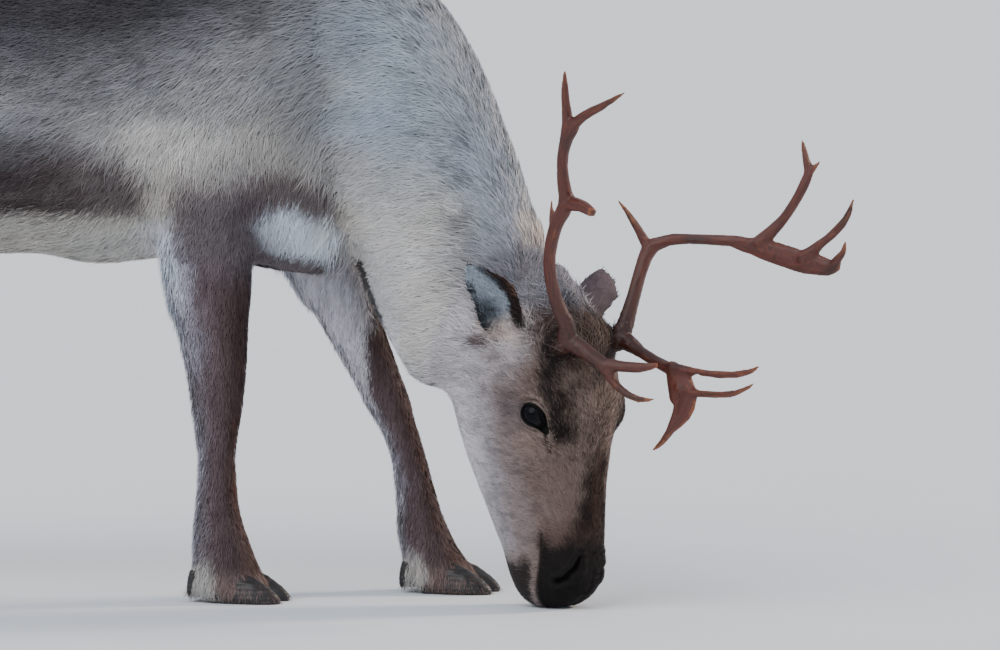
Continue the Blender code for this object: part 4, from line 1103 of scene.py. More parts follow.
def finish_skin(skin, material):
    """Fine forms of the face, then the colours and the lie of the coat on every point."""
    refine_face(skin)
    mesh = skin.data
    points = read_points(mesh)
    web = neighbour_web(read_edges(mesh), len(points))
    labels = nearest_labels(points, list(PARTS) + list(EYES))
    shares = smooth_shares(np.where(labels >= len(PARTS), HEAD, labels), web, 10)
    points = relax(points, web, 2, 0.5 * (face_near(points) > 0))
    write_points(mesh, points)
    points = shape_face(points, read_normals(mesh))
    write_points(mesh, points)
    normals = read_normals(mesh)
    lie = relax(lie_of_coat(points, normals, shares), web, 8)
    lie = unit(lie - dot(lie, normals)[:, None] * normals)
    with edited(mesh) as bm:
        bmesh.ops.triangulate(bm, faces=bm.faces[:])
    dress(skin, material)
    colours = markings(points, normals, shares)
    # The skin's colours are darkened by SKIN_SHADE as painted shade under the coat.
    write_colours(mesh, "marking", np.clip(colours * SKIN_SHADE, 0.0, 1.0))
    write_vectors(mesh, "comb", comb_places(points, shares))
    return points, normals, lie, shares


def comb_places(points, shares):
    """Places pressed together along the lie of the hair, so that noise there makes streaks."""
    along, right, front = head_places(points)
    cheek = ramp(front, 0.070, 0.015)
    head = np.stack([right, front * (0.85 - 0.55 * cheek), along * (0.30 + 0.60 * cheek)], axis=1)
    body = points * (0.16, 1.0, 1.0)
    legs = points * (1.0, 1.0, 0.16)
    share_head = (shares[:, HEAD] + shares[:, EAR_COLUMNS].sum(axis=1))[:, None]
    share_legs = shares[:, LEG_COLUMNS].sum(axis=1)[:, None]
    return share_head * head + share_legs * legs + (1.0 - share_head - share_legs) * body


class Ground:
    """The finished skin as something that hair can be rooted in and laid along."""

    def __init__(self, skin, points, normals, lie, shares):
        self.points, self.normals, self.lie, self.shares = points, normals, lie, shares
        self.comb = comb_places(points, shares)
        self.triangles = read_triangles(skin.data)
        a, b, c = (points[self.triangles[:, k]] for k in range(3))
        self.area = 0.5 * np.linalg.norm(np.cross(b - a, c - a), axis=1)
        self.tree = BVHTree.FromPolygons(points.tolist(), self.triangles.tolist())
        self.stride = hair_length(points, shares)
        self.half, self.half_normals, lie_there = self.walk(points, normals, lie)
        self.whole, self.whole_normals, _ = self.walk(self.half, self.half_normals, lie_there)

    def walk(self, places, normals, lie):
        """Half a hair further along the skin from each place: where, facing where, lying how."""
        goal = places + lie * (0.5 * self.stride)[:, None]
        spots, faces, corner = self.nearest(goal)
        lost = (np.linalg.norm(spots - goal, axis=1) > 0.28 * self.stride)[:, None]
        facing = unit(self.read(self.normals, faces, corner))
        onward = self.read(self.lie, faces, corner)
        facing = np.where(lost, normals, facing)
        onward = np.where(lost, lie, onward)
        onward = unit(onward - dot(onward, facing)[:, None] * facing)
        return np.where(lost, goal, spots), facing, onward

    def read(self, field, faces, shares):
        return sum(shares[:, k:k + 1] * field[self.triangles[faces, k]] for k in range(3))

    def scatter(self, spacing, weight):
        """Roots about that far apart, with the face each is on and its shares of the corners."""
        chance = self.area * weight
        wanted = int(3.0 * chance.sum() / spacing ** 2)
        faces = dice.choice(len(chance), size=wanted, p=chance / chance.sum())
        u, v = dice.random(wanted), dice.random(wanted)
        flip = u + v > 1.0
        u, v = np.where(flip, 1.0 - u, u), np.where(flip, 1.0 - v, v)
        shares = np.stack([1.0 - u - v, u, v], axis=1)
        places = self.read(self.points, faces, shares)
        cells = np.floor(places / spacing).astype(np.int64)
        key = (cells[:, 0] * 4001 + cells[:, 1]) * 4001 + cells[:, 2]
        first = np.unique(key, return_index=True)[1]
        first.sort()
        return places[first], faces[first], shares[first]

    def nearest(self, places):
        """The skin's nearest points to these places, with face and corner shares."""
        found = [self.tree.find_nearest(place) for place in places.tolist()]
        spots = np.array([hit[0] for hit in found])
        faces = np.array([hit[2] for hit in found])
        a, b, c = (self.points[self.triangles[faces, k]] for k in range(3))
        e, f, g = b - a, c - a, spots - a
        ee, ef, ff, ge, gf = dot(e, e), dot(e, f), dot(f, f), dot(g, e), dot(g, f)
        low = np.maximum(ee * ff - ef * ef, 1e-18)
        v = np.clip((ff * ge - ef * gf) / low, 0.0, 1.0)
        w = np.clip((ee * gf - ef * ge) / low, 0.0, 1.0)
        return spots, faces, np.stack([1.0 - v - w, v, w], axis=1)


# Tufts

MAP_GAP = 0.006


def flat_places(places, normals, owner):
    """Where each root lies on a flat layout of the skin, 0 to 1 each way."""
    way = np.abs(normals).argmax(axis=1)
    facing = normals[np.arange(len(way)), way] > 0
    chart = (owner * 3 + way) * 2 + facing
    flat = np.stack([places[np.arange(len(way)), (way + 1) % 3],
                     places[np.arange(len(way)), (way + 2) % 3]], axis=1)
    names = np.unique(chart)
    boxes = {name: (flat[chart == name].min(axis=0), np.ptp(flat[chart == name], axis=0) + 0.004)
             for name in names}
    order = sorted(names, key=lambda name: -boxes[name][1][1])
    scale = 1.0
    while True:
        corners, x, y, tall = {}, 0.0, 0.0, 0.0
        for name in order:
            wide, high = boxes[name][1] * scale + MAP_GAP
            if x + wide > 1.0:
                x, y, tall = 0.0, y + tall, 0.0
            corners[name] = (x, y)
            x, tall = x + wide, max(tall, high)
        fits = y + tall <= 1.0 and max(boxes[name][1][0] for name in order) * scale < 0.99
        if fits:
            break
        scale *= 0.97
    result = np.empty((len(places), 2))
    for name in names:
        mine = chart == name
        result[mine] = (flat[mine] - boxes[name][0]) * scale + corners[name] + MAP_GAP / 2
    return np.clip(result, 0.002, 0.996)


# A tuft has five points, two at the root, two halfway and the tip, and two faces

TUFT_SPOTS = ((0.0, 0.0), (1.0, 0.0), (0.0, 0.5), (1.0, 0.5), (0.5, 1.0))
TUFT_CORNERS = (0, 2, 3, 1, 2, 4, 3)
TUFT_SHADES = (0.82, 0.82, 0.96, 0.96, 1.04)
TUFT_PATCH = 0.003
TUFT_TILT = 0.40
TUFT_LEAN = 0.22
MIDDLE_LIFT = 0.62
ROOT_DEPTH = 0.0008
HAIR_FLOOR = 0.0006


def tuft_mesh(name, points, flat):
    """A mesh of tufts of five points each, with each tuft's patch on the map for colours."""
    count = len(points)
    corners = (np.array(TUFT_CORNERS)[None, :] + 5 * np.arange(count)[:, None]).ravel()
    mesh = mesh_from(name, points.reshape(-1, 3), corners, np.tile((4, 3), count))
    patch = (np.array(TUFT_SPOTS)[list(TUFT_CORNERS)] - 0.5) * TUFT_PATCH
    layer = mesh.uv_layers.new(name="OFBake")
    rows = flat[:, None, :] + patch[None, :, :]
    layer.data.foreach_set("uv", rows.astype(np.float32).ravel())
    return mesh


def tuft_points(ground, roots, faces, corner, look):
    """Each tuft's five points, the way each of them faces, and where on the skin it lies."""
    count = len(roots)
    normals, lie, half_normals, whole_normals = (
        unit(ground.read(field, faces, corner))
        for field in (ground.normals, ground.lie, ground.half_normals, ground.whole_normals))
    stride = ground.read(ground.stride[:, None], faces, corner)
    reach = look["length"] * dice.uniform(0.70, 1.20, count)
    scale = reach[:, None] / stride
    half = (ground.read(ground.half, faces, corner) - roots) * scale
    whole = (ground.read(ground.whole, faces, corner) - roots) * scale
    free = look["free"][:, None]
    half = half * (1.0 - free) + lie * (0.5 * reach)[:, None] * free
    whole = whole * (1.0 - free) + lie * reach[:, None] * free
    side = unit(np.cross(normals, whole))
    swing = look["stray"] * dice.normal(size=count) + 0.45 * (cloud(roots, 0.016) - 0.5)
    bend = look["bend"] * dice.normal(size=count)
    lift = (look["lift"] * dice.uniform(0.70, 1.08, count))[:, None]
    low = roots - normals * ROOT_DEPTH
    mid = roots + half + side * (0.5 * reach * swing)[:, None] + half_normals * MIDDLE_LIFT * lift
    tip = roots + whole + side * (reach * (swing + bend))[:, None] + whole_normals * lift
    tip[:, 2] -= look["drop"] * reach
    mid[:, 2] -= 0.3 * look["drop"] * reach
    width = (look["width"] * dice.uniform(0.7, 1.3, count))[:, None]
    tilt = TUFT_TILT * dice.normal(size=count)[:, None]
    across = unit(np.cross(half_normals, tip - low))
    across = unit(across + tilt * half_normals)
    points = np.stack([low - across * width * 0.40, low + across * width * 0.40,
                       mid - across * width * 0.50, mid + across * width * 0.50, tip], axis=1)
    points[:, :, 2] = np.maximum(points[:, :, 2], HAIR_FLOOR)
    lean = TUFT_LEAN * across
    facing = unit(np.stack([normals - lean, normals + lean, half_normals - lean,
                            half_normals + lean, whole_normals], axis=1))
    return points, facing, roots + half


def grow(name, ground, spacing, weight, style, material):
    """Tufts over part of the skin. style gives each root its width, lift and looks."""
    roots, faces, corner = ground.scatter(spacing, weight)
    shares = ground.read(ground.shares, faces, corner)
    look = style(roots, unit(ground.read(ground.normals, faces, corner)), shares)
    if "keep" in look:
        kept = np.flatnonzero(look.pop("keep"))
        roots, faces, corner, shares = roots[kept], faces[kept], corner[kept], shares[kept]
        look = {key: value[kept] for key, value in look.items()}
    points, facing, spots = tuft_points(ground, roots, faces, corner, look)
    normals = unit(ground.read(ground.normals, faces, corner))
    half_normals = unit(ground.read(ground.half_normals, faces, corner))
    mesh = tuft_mesh(name, points, flat_places(roots, normals, shares.argmax(axis=1)))
    comb = ground.read(ground.comb, faces, corner)
    colour_tufts(mesh, spots, half_normals, shares, look, comb)
    piece = place_mesh(name, mesh)
    dress(piece, material)
    mesh.normals_split_custom_set_from_vertices(facing.reshape(-1, 3).astype(np.float32))
    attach(piece, "root")
    print(name, len(roots), "tufts", 3 * len(roots), "triangles")


def colour_tufts(mesh, spots, normals, shares, look, comb):
    """Marking colours, a little different for each tuft, darker at the root."""
    count = len(spots)
    near = spots + look["blur"][:, None] * dice.normal(size=(count, 3))
    base = markings(near, normals, shares)
    dark = dice.random(count) < look["dark"]
    tone = dice.normal(1.0, 0.055, count) * np.where(dark, dice.uniform(0.50, 0.80, count), 1.0)
    clump = cloud(comb + 3.0, 0.0042) * 0.6 + cloud(comb + 9.0, 0.011) * 0.4
    streak = 1.0 - look["streak"] * ramp(clump, 0.50, 0.74) + 0.10 * ramp(clump, 0.45, 0.30)
    warm = dice.normal(0.0, 0.012, (count, 1)) * np.array((1.0, 0.1, -1.0))
    base = np.clip(base * (tone * streak)[:, None] * (1.0 + warm), 0.002, 0.95)
    rows = np.clip(base[:, None, :] * np.array(TUFT_SHADES)[None, :, None], 0.0, 1.0)
    write_colours(mesh, "marking", rows.reshape(-1, 3))
    strand = np.empty((count, 5, 3))
    strand[:, :, 0] = dice.random(count)[:, None]
    strand[:, :, 1:] = np.array(TUFT_SPOTS)[:, ::-1]
    write_colours(mesh, "strand", strand.reshape(-1, 3))


# How the hair is on each part

def even_look(roots, shares, **values):
    """The usual look of the hair, with what differs on one part."""
    look = {"length": hair_length(roots, shares), "lift": coat_depth(roots, shares),
            "width": 0.0016, "stray": 0.08, "bend": 0.13, "dark": 0.04, "free": 0.0,
            "drop": 0.0, "blur": 0.005, "streak": 0.20}
    look.update(values)
    return {key: np.broadcast_to(np.asarray(value), (len(roots),)) for key, value in look.items()}


def trunk_style(roots, normals, shares):
    z = roots[:, 2]
    return even_look(roots, shares, dark=0.05 + 0.10 * ramp(z, 0.62, 0.80),
                     streak=0.16 + 0.16 * ramp(z, 0.62, 0.78))


def neck_style(roots, normals, shares):
    across = neck_share(roots)
    throat = ramp(across, 0.16, 0.02) * ramp(-normals[:, 2] - normals[:, 0], 0.2, 0.9)
    edge = ramp(across, 0.93, 1.0)
    return even_look(roots, shares, free=0.75 * throat + 0.3 * edge, drop=0.30 * throat,
                     dark=0.03 + 0.09 * ramp(across, 0.50, 0.75),
                     streak=0.10 + 0.34 * ramp(across, 0.50, 0.75))


def leg_style(roots, normals, shares):
    z = roots[:, 2]
    rear = ramp(-normals[:, 0], 0.45, 0.90) * ramp(z, 0.06, 0.12)
    rear = rear * (0.60 + 0.40 * ramp(z, 0.26, 0.34))
    foot = ramp(z, 0.055, 0.03)
    return even_look(roots, shares, length=hair_length(roots, shares) * (1.0 + 1.3 * rear),
                     lift=coat_depth(roots, shares) * (0.75 + 1.9 * rear),
                     width=np.interp(z, (0.0, 0.5), (0.0011, 0.0015)), dark=0.04, blur=0.003,
                     stray=0.08, bend=0.14,
                     free=np.clip(0.45 * rear + 0.75 * foot, 0.0, 0.9), streak=0.22)


def head_style(roots, normals, shares):
    along, right, front = head_places(roots)
    gap = eye_gap(roots)
    crown = ramp(along, 0.085, 0.045) * ramp(front, 0.0, 0.035) * ramp(np.abs(right), 0.085, 0.06)
    length = hair_length(roots, shares) * (0.42 + 0.58 * ramp(gap, 0.004, 0.024))
    lift = np.interp(along, (0.0, 0.07, 0.14, 0.34), (0.0055, 0.0040, 0.0026, 0.0017))
    nostril = nostril_gap(along, front) < -0.0003
    mouth = line_distance(along, front, MOUTH) < 0.0014
    bare = (gap < 0.0024) | ((nostril | mouth) & (np.abs(right) > 0.012))
    return even_look(roots, shares, length=length * (1.0 + 0.15 * crown),
                     width=np.interp(along, (0.0, 0.10, 0.34), (0.0015, 0.0011, 0.0009)),
                     lift=lift * (0.45 + 0.55 * ramp(gap, 0.004, 0.02)) + 0.003 * crown,
                     stray=0.12 + 0.25 * crown, bend=0.22 + 0.30 * crown, dark=0.12 + 0.25 * crown,
                     free=0.3 * crown, blur=0.0026 * ramp(gap, 0.006, 0.016), streak=0.28,
                     keep=~bare)


def ear_style(roots, normals, shares):
    inside, rim, flat = 0.0, 0.0, 0.0
    for ear in EARS:
        mine = shares[:, PARTS.index(ear)]
        facing = dot(normals, EAR_FACES[ear])
        inside = np.maximum(inside, mine * ramp(facing, 0.1, 0.4))
        rim = np.maximum(rim, mine * ramp(ear_places(ear, roots)[0], 0.80, 0.95))
        flat = np.maximum(flat, mine * np.abs(facing))
    length = (0.0050 + 0.0080 * inside) * (1.0 - 0.5 * rim) * (0.30 + 0.70 * ramp(flat, 0.30, 0.80))
    return even_look(roots, shares, length=length, width=0.0010 + 0.0002 * inside,
                     lift=0.0006 + 0.0030 * inside * (1.0 - rim), stray=0.10 + 0.2 * inside,
                     bend=0.2, dark=0.06, blur=0.0012, free=0.3 * inside)


def tail_style(roots, normals, shares):
    return even_look(roots, shares, free=0.3, drop=0.1)


def face_weights(ground):
    """For each part, how much of each face of the skin belongs to it."""
    triangles = ground.triangles
    return {part: ground.shares[triangles, number].mean(axis=1)
            for number, part in enumerate(PARTS)}


def owned(weights, *parts):
    """1 where these parts own a face more than the others do."""
    total = sum(weights[part] for part in parts)
    return (total >= 0.5).astype(float)


TRUNK_BANDS = (-2.0, -0.66, -0.44, -0.22, -0.06, 1.0)


def grow_coat(ground, material):
    """The coat in pieces, part by part, each with its own distance from tuft to tuft."""
    weights = face_weights(ground)
    centre = ground.points[ground.triangles].mean(axis=1)
    x = centre[:, 0] - FOOT_X
    trunk = owned(weights, "trunk")
    for number, (start, end) in enumerate(zip(TRUNK_BANDS, TRUNK_BANDS[1:])):
        here = trunk * (x >= start) * (x < end)
        grow(f"coat_trunk_{number + 1}", ground, 0.0026, here, trunk_style, material)
    grow("coat_neck", ground, 0.0024, owned(weights, "neck"), neck_style, material)
    for leg in LEGS:
        here = owned(weights, leg) * (centre[:, 2] > 0.012)
        grow("coat_" + leg, ground, 0.0024, here, leg_style, material)
    head = owned(weights, "head")
    along = head_places(centre)[0]
    grow("coat_crown", ground, 0.0021, head * (along < 0.10), head_style, material)
    grow("coat_face", ground, 0.0018, head * (along >= 0.10), head_style, material)
    grow("coat_ears", ground, 0.0018, owned(weights, *EARS), ear_style, material)
    grow("coat_tail", ground, 0.0030, owned(weights, "tail"), tail_style, material)


# Materials

def new_material(name):
    """An empty node material with its shader joined to the output."""
    material = bpy.data.materials.new(name)
    material.use_nodes = True
    tree = material.node_tree
    return material, tree, tree.nodes["Principled BSDF"]


def add_node(tree, kind, **values):
    node = tree.nodes.new(kind)
    for key, value in values.items():
        if key in node.inputs:
            node.inputs[key].default_value = value
        else:
            setattr(node, key, value)
    return node


def join(tree, start, end):
    tree.links.new(start, end)


def set_inputs(node, values):
    for key, value in values.items():
        node.inputs[key].default_value = value


def read_attribute(tree, name):
    """The node that reads what a mesh stores on its points under that name."""
    return add_node(tree, "ShaderNodeAttribute", attribute_name=name)


def scaled(tree, places, factors):
    """Places drawn out or pressed together by a factor each way."""
    node = add_node(tree, "ShaderNodeVectorMath", operation="MULTIPLY")
    node.inputs[1].default_value = factors
    join(tree, places, node.inputs[0])
    return node.outputs["Vector"]


def raise_surface(tree, shader, mask, strength, distance):
    """Bumps that stand where the mask is high."""
    bump = add_node(tree, "ShaderNodeBump", Strength=strength, Distance=distance)
    join(tree, mask, bump.inputs["Height"])
    join(tree, bump.outputs["Normal"], shader.inputs["Normal"])


def new_group(name, inputs, outputs):
    group = bpy.data.node_groups.new(name, "ShaderNodeTree")
    for label, kind, value in inputs:
        socket = group.interface.new_socket(label, in_out="INPUT", socket_type=kind)
        if value is not None:
            socket.default_value = value
    for label, kind in outputs:
        group.interface.new_socket(label, in_out="OUTPUT", socket_type=kind)
    start = group.nodes.new("NodeGroupInput")
    end = group.nodes.new("NodeGroupOutput")
    return group, start, end


def lay_streaks(tree, shader, streaks, places, **values):
    """Streaks in the marking colour, or in one given colour, on the shader. Returns their mask."""
    lines = add_node(tree, "ShaderNodeGroup", node_tree=streaks)
    set_inputs(lines, values)
    join(tree, places, lines.inputs["Places"])
    if "Colour" not in values:
        marking = read_attribute(tree, "marking")
        join(tree, marking.outputs["Color"], lines.inputs["Colour"])
    join(tree, lines.outputs["Colour"], shader.inputs["Base Color"])
    return lines.outputs["Mask"]


def streak_group():
    """Fine lines along the lie of hair or horn: a mask from 0 to 1, and a colour times it."""
    group, start, end = new_group(
        "fine streaks",
        [("Places", "NodeSocketVector", None), ("Colour", "NodeSocketColor", None),
         ("Scale", "NodeSocketFloat", 300.0), ("Darkest", "NodeSocketFloat", 0.7),
         ("Lightest", "NodeSocketFloat", 1.2)],
        [("Colour", "NodeSocketColor"), ("Mask", "NodeSocketFloat")])
    noise = add_node(group, "ShaderNodeTexNoise", Detail=3.0, Roughness=0.6)
    spread = add_node(group, "ShaderNodeMapRange")
    set_inputs(spread, {"From Min": 0.30, "From Max": 0.70})
    tint = add_node(group, "ShaderNodeVectorMath", operation="SCALE")
    join(group, start.outputs["Places"], noise.inputs["Vector"])
    join(group, start.outputs["Scale"], noise.inputs["Scale"])
    join(group, noise.outputs["Fac"], spread.inputs["Value"])
    join(group, start.outputs["Darkest"], spread.inputs["To Min"])
    join(group, start.outputs["Lightest"], spread.inputs["To Max"])
    join(group, start.outputs["Colour"], tint.inputs[0])
    join(group, spread.outputs["Result"], tint.inputs["Scale"])
    join(group, tint.outputs["Vector"], end.inputs["Colour"])
    join(group, noise.outputs["Fac"], end.inputs["Mask"])
    return group


def skin_material(streaks):
    material, tree, shader = new_material("coat close to the skin")
    comb = read_attribute(tree, "comb").outputs["Vector"]
    mask = lay_streaks(tree, shader, streaks, comb, Scale=900.0, Darkest=0.62, Lightest=1.15)
    raise_surface(tree, shader, mask, 0.6, 0.0012)
    set_inputs(shader, {"Roughness": 0.75, "Specular IOR Level": 0.25})
    return material


def coat_material(streaks):
    """Hair that shows fine strands along each tuft."""
    material, tree, shader = new_material("winter hair")
    strand = read_attribute(tree, "strand").outputs["Vector"]
    comb = scaled(tree, strand, (90.0, 0.7, 4.0))
    lay_streaks(tree, shader, streaks, comb, Scale=1.0, Darkest=0.80, Lightest=1.16)
    set_inputs(shader, {"Roughness": 0.62, "Specular IOR Level": 0.14,
                        "Sheen Weight": 0.04, "Sheen Roughness": 0.5})
    return material


def antler_material(streaks):
    """Brown horn with lengthwise grain, smoother where the grain is dark."""
    material, tree, shader = new_material("hard antler")
    comb = read_attribute(tree, "comb").outputs["Vector"]
    mask = lay_streaks(tree, shader, streaks, comb, Scale=420.0, Darkest=0.50, Lightest=1.42)
    raise_surface(tree, shader, mask, 0.7, 0.0012)
    shine = add_node(tree, "ShaderNodeMapRange")
    set_inputs(shine, {"To Min": 0.36, "To Max": 0.58})
    join(tree, mask, shine.inputs["Value"])
    join(tree, shine.outputs["Result"], shader.inputs["Roughness"])
    return material


def hoof_material(streaks):
    """Black horn with fine lines round each hoof."""
    material, tree, shader = new_material("black horn")
    place = add_node(tree, "ShaderNodeTexCoord").outputs["Object"]
    rings = scaled(tree, place, (0.35, 0.35, 1.0))
    mask = lay_streaks(tree, shader, streaks, rings, Scale=420.0, Darkest=0.75, Lightest=1.25,
                       Colour=(*HOOF_BLACK, 1.0))
    raise_surface(tree, shader, mask, 0.4, 0.0008)
    set_inputs(shader, {"Roughness": 0.42})
    return material


IRIS_TONES = ((0.30, (0.0015, 0.0016, 0.0022)), (0.62, (0.012, 0.009, 0.009)),
              (0.95, (0.020, 0.014, 0.012)))


def eye_material():
    """A dark brown iris round a wide black pupil, under a wet clear surface with a blue tint that is
    painted reflection of the sky.
    """
    material, tree, shader = new_material("wet dark eye")
    iris = read_attribute(tree, "iris")
    noise = add_node(tree, "ShaderNodeTexNoise", Scale=700.0, Detail=2.0)
    mottled = add_node(tree, "ShaderNodeMath", operation="MULTIPLY_ADD")
    mottled.inputs[1].default_value = 0.12
    tones = add_node(tree, "ShaderNodeValToRGB")
    tones.color_ramp.elements.new(IRIS_TONES[-1][0])
    for element, (place, colour) in zip(tones.color_ramp.elements, IRIS_TONES):
        element.position = place
        element.color = (*colour, 1.0)
    join(tree, noise.outputs["Fac"], mottled.inputs[0])
    join(tree, iris.outputs["Fac"], mottled.inputs[2])
    join(tree, mottled.outputs["Value"], tones.inputs["Fac"])
    join(tree, tones.outputs["Color"], shader.inputs["Base Color"])
    # The blue coat tint is painted reflection of the sky.
    set_inputs(shader, {"Roughness": 0.10, "Specular IOR Level": 0.0, "Coat Weight": 0.55,
                        "Coat Roughness": 0.03, "Coat IOR": 1.28,
                        "Coat Tint": (0.45, 0.65, 1.0, 1.0)})
    return material


# Eyes, antlers and hooves

def make_eyes(material):
    """Smooth eyeballs with a raised clear front, each in its own place."""
    for eye in EYES:
        out, corner, brow = eye_axes(eye)
        mesh = bpy.data.meshes.new(eye + "_ball")
        with edited(mesh) as bm:
            bmesh.ops.create_uvsphere(bm, u_segments=64, v_segments=40, radius=1.0)
        ball = read_points(mesh)
        forward = ball[:, 2]
        bulge = 1.0 + 0.035 * ramp(forward, 0.72, 1.0)
        radius = (EYE_RADIUS - 0.0004) * bulge
        points = EYE_CENTRES[eye] + radius[:, None] * (
            ball[:, 0:1] * corner + ball[:, 1:2] * brow + forward[:, None] * out)
        write_points(mesh, points)
        wide = np.hypot(ball[:, 0] / 0.62, ball[:, 1] / 0.42)
        iris = np.where(forward > 0, 0.5 * np.clip(wide, 0.0, 2.0), 1.0)
        write_colours(mesh, "iris", np.repeat(iris[:, None], 3, axis=1))
        piece = place_mesh(eye + "_ball", mesh)
        dress(piece, material)
        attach(piece, "root")
        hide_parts(eye)


ANTLER_GRAIN = 0.0019
HOOF_GRAIN = 0.0016
HOOF_RIDGE = 0.00022
RIDGE_RATE = 900.0


def tube_frames(points, reach=0.020, sample=2600):
    """The axis of the branch at each point, and the middle of the branch there."""
    chosen = dice.choice(len(points), size=min(sample, len(points)), replace=False)
    few = points[chosen]
    tree = KDTree(len(few))
    for number, point in enumerate(few.tolist()):
        tree.insert(point, number)
    tree.balance()
    axes = np.empty((len(few), 3))
    middles = np.empty((len(few), 3))
    for number, point in enumerate(few.tolist()):
        near = few[[hit[1] for hit in tree.find_range(point, reach)]]
        if len(near) < 4:
            near = few[[hit[1] for hit in tree.find_n(point, 6)]]
        middle = near.mean(axis=0)
        spread = (near - middle).T @ (near - middle)
        axes[number] = np.linalg.eigh(spread)[1][:, -1]
        middles[number] = middle
    nearest = np.array([tree.find(point)[1] for point in points.tolist()])
    return axes[nearest], middles[nearest]


def grain_places(points, web, distance):
    """Places pressed together along each branch, so that noise there makes lengthwise grain."""
    axis, middle = tube_frames(points)
    axis = np.where(dot(axis, unit(points - POLL))[:, None] < 0, -axis, axis)
    axis = unit(relax(axis, web, 6))
    away = points - relax(middle, web, 4)
    away = unit(away - dot(away, axis)[:, None] * axis)
    first = unit(np.cross(axis, HEAD_RIGHT))
    turn_x, turn_y = dot(away, first), dot(away, np.cross(axis, first))
    return np.stack([turn_x * 0.010, turn_y * 0.010, distance * 0.10], axis=1)


def antler_tones(points, distance, ridge_highlight):
    """Brown with darker clouds, a painted orange highlight on raised edges, and dark at the foot."""
    top = ramp(distance, 0.16, 0.42)
    return paint_over(
        ANTLER_TONE,
        (ANTLER_DARK, 0.75 * ramp(cloud(points, 0.05), 0.45, 0.75)),
        (ANTLER_HIGHLIGHT, 0.60 * ridge_highlight * (1.0 - 0.4 * top)),
        (ANTLER_DARK, 0.7 * ramp(distance, 0.150, 0.03)))


def make_antlers(material):
    """Each antler as one smooth body of horn, its pieces run together at the forks."""
    for side in ("right", "left"):
        names = sorted(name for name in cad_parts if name.startswith(f"antler_{side}_"))
        antler = join_nodes(f"antler_{side}", names)
        voxel_skin(antler, ANTLER_GRAIN)
        mesh = antler.data
        points = read_points(mesh)
        web = neighbour_web(read_edges(mesh), len(points))
        points = even_out(points, web, 9)
        base = on_head(0.045, side_of(side) * ANTLER_ASIDE, 0.070)
        distance = np.linalg.norm(points - base, axis=1)
        comb = grain_places(points, web, distance)
        write_points(mesh, points)
        normals = read_normals(mesh)
        groove = cloud(comb * (1.0, 1.0, 0.8) + 5.0, 0.0042) - 0.5
        pearls = cloud(points, 0.0045) * ramp(distance, 0.075, 0.02)
        points = points + normals * (0.0011 * groove * ramp(distance, 0.5, 0.1)
                                     + 0.0016 * pearls)[:, None]
        write_points(mesh, points)
        # Pale orange on the ridges is a painted highlight, as of a low sun on raised edges.
        curve = dot(points - neighbour_mean(points, web), normals)
        ridge_highlight = ramp(relax(curve[:, None], web, 2)[:, 0], 0.00008, 0.00028)
        write_colours(mesh, "marking", antler_tones(points, distance, ridge_highlight))
        write_vectors(mesh, "comb", comb)
        dress(antler, material)
        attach(antler, "root")
        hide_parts(*names)


def make_hooves(material):
    """Rounded hooves and dewclaws, foot by foot, with growth ridges round each."""
    for leg in LEGS:
        names = [name for name in HOOVES if leg[3:] in name]
        hooves = join_nodes("hooves" + leg[3:], names)
        voxel_skin(hooves, HOOF_GRAIN)
        mesh = hooves.data
        points = read_points(mesh)
        web = neighbour_web(read_edges(mesh), len(points))
        sole = points[:, 2] < points[:, 2].min() + 0.0012
        smooth = relax(points, web, 18, 0.9)
        smooth[:, 2] = np.where(sole, points[:, 2], smooth[:, 2])
        write_points(mesh, smooth)
        ridge = HOOF_RIDGE * np.sin(smooth[:, 2] * RIDGE_RATE + 3.0 * cloud(smooth, 0.02))
        ridge = ridge * ramp(smooth[:, 2], 0.003, 0.007)
        points = smooth + read_normals(mesh) * ridge[:, None]
        points[:, 2] = np.maximum(points[:, 2], 0.0)
        write_points(mesh, points)
        dress(hooves, material)
        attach(hooves, "root")
        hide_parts(*names)


# The studio

FLOOR_TONES = ((0.74, 0.77, 0.81, 1.0), (0.79, 0.82, 0.86, 1.0))
SKY_COLOUR = (0.80, 0.88, 1.0, 1.0)
SKY_STRENGTH = 0.85

# Each lamp: its power, how many degrees it fills, its colour, and the way it shines

LAMPS = {"front": (1.5, 50.0, (1.0, 0.98, 0.95), (0.35, 0.75, -0.75)),
         "behind": (2.4, 12.0, (1.0, 0.80, 0.62), (-0.85, -0.55, -0.50))}


def make_floor():
    """A wide pale floor."""
    material, tree, shader = new_material("pale floor")
    place = add_node(tree, "ShaderNodeTexCoord")
    noise = add_node(tree, "ShaderNodeTexNoise", Scale=3.0, Detail=6.0)
    tones = add_node(tree, "ShaderNodeMix", data_type="RGBA")
    tones.inputs[6].default_value = FLOOR_TONES[0]
    tones.inputs[7].default_value = FLOOR_TONES[1]
    join(tree, place.outputs["Object"], noise.inputs["Vector"])
    join(tree, noise.outputs["Fac"], tones.inputs[0])
    join(tree, tones.outputs[2], shader.inputs["Base Color"])
    shader.inputs["Roughness"].default_value = 0.9
    bpy.ops.mesh.primitive_circle_add(vertices=96, radius=600.0, fill_type="NGON")
    floor = bpy.context.object
    floor.name = "floor"
    floor.data.materials.append(material)


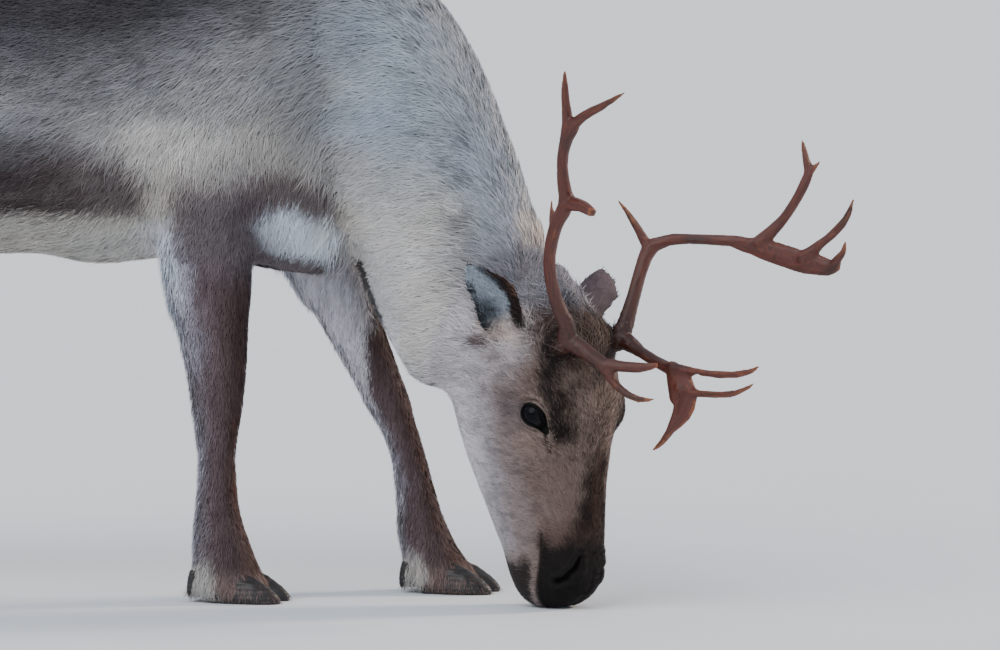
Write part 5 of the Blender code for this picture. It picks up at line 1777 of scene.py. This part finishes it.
def make_light():
    """A bright even room, one broad soft lamp before the animal and one low behind it."""
    world = bpy.data.worlds.new("studio")
    bpy.context.scene.world = world
    world.use_nodes = True
    sky = world.node_tree.nodes["Background"]
    set_inputs(sky, {"Color": SKY_COLOUR, "Strength": SKY_STRENGTH})
    for name, (energy, spread, colour, way) in LAMPS.items():
        lamp = bpy.data.lights.new("lamp " + name, "SUN")
        lamp.energy = energy
        lamp.angle = math.radians(spread)
        lamp.color = colour
        thing = bpy.data.objects.new("lamp " + name, lamp)
        thing.rotation_euler = Vector(way).to_track_quat("-Z", "Y").to_euler()
        bpy.context.scene.collection.objects.link(thing)


def make_camera():
    """The photo's view: the right front foot falls on its pixel."""
    sin_a, cos_a = math.sin(CAMERA_AZIMUTH), math.cos(CAMERA_AZIMUTH)
    sin_e, cos_e = math.sin(CAMERA_HEIGHT), math.cos(CAMERA_HEIGHT)
    right = Vector((cos_a, sin_a, 0.0))
    up = Vector((-sin_a * sin_e, cos_a * sin_e, cos_e))
    back = Vector((sin_a * cos_e, -cos_a * cos_e, sin_e))
    aim = (Vector(FOOT_NEAR) + right * ((PICTURE[0] / 2 - FOOT_PIXEL[0]) / PIXELS_PER_METRE)
           + up * ((FOOT_PIXEL[1] - PICTURE[1] / 2) / PIXELS_PER_METRE))
    camera = bpy.data.cameras.new("camera")
    camera.sensor_width = 36.0
    camera.lens = camera.sensor_width * PIXELS_PER_METRE * CAMERA_AWAY / PICTURE[0]
    camera.clip_end = 2000.0
    thing = bpy.data.objects.new("camera", camera)
    turn = Matrix((right, up, back)).transposed().to_4x4()
    thing.matrix_world = Matrix.Translation(aim + CAMERA_AWAY * back) @ turn
    bpy.context.scene.collection.objects.link(thing)
    bpy.context.scene.camera = thing


def make_reindeer():
    """The skin, eyes, antlers, hooves and coat, in that order."""
    streaks = streak_group()
    skin = whole_skin()
    points, normals, lie, shares = finish_skin(skin, skin_material(streaks))
    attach(skin, "root")
    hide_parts(*PARTS)
    print("skin", len(points), "points", len(skin.data.polygons), "triangles")
    make_eyes(eye_material())
    make_antlers(antler_material(streaks))
    make_hooves(hoof_material(streaks))
    grow_coat(Ground(skin, points, normals, lie, shares), coat_material(streaks))


make_camera()
make_floor()
make_light()
make_reindeer()
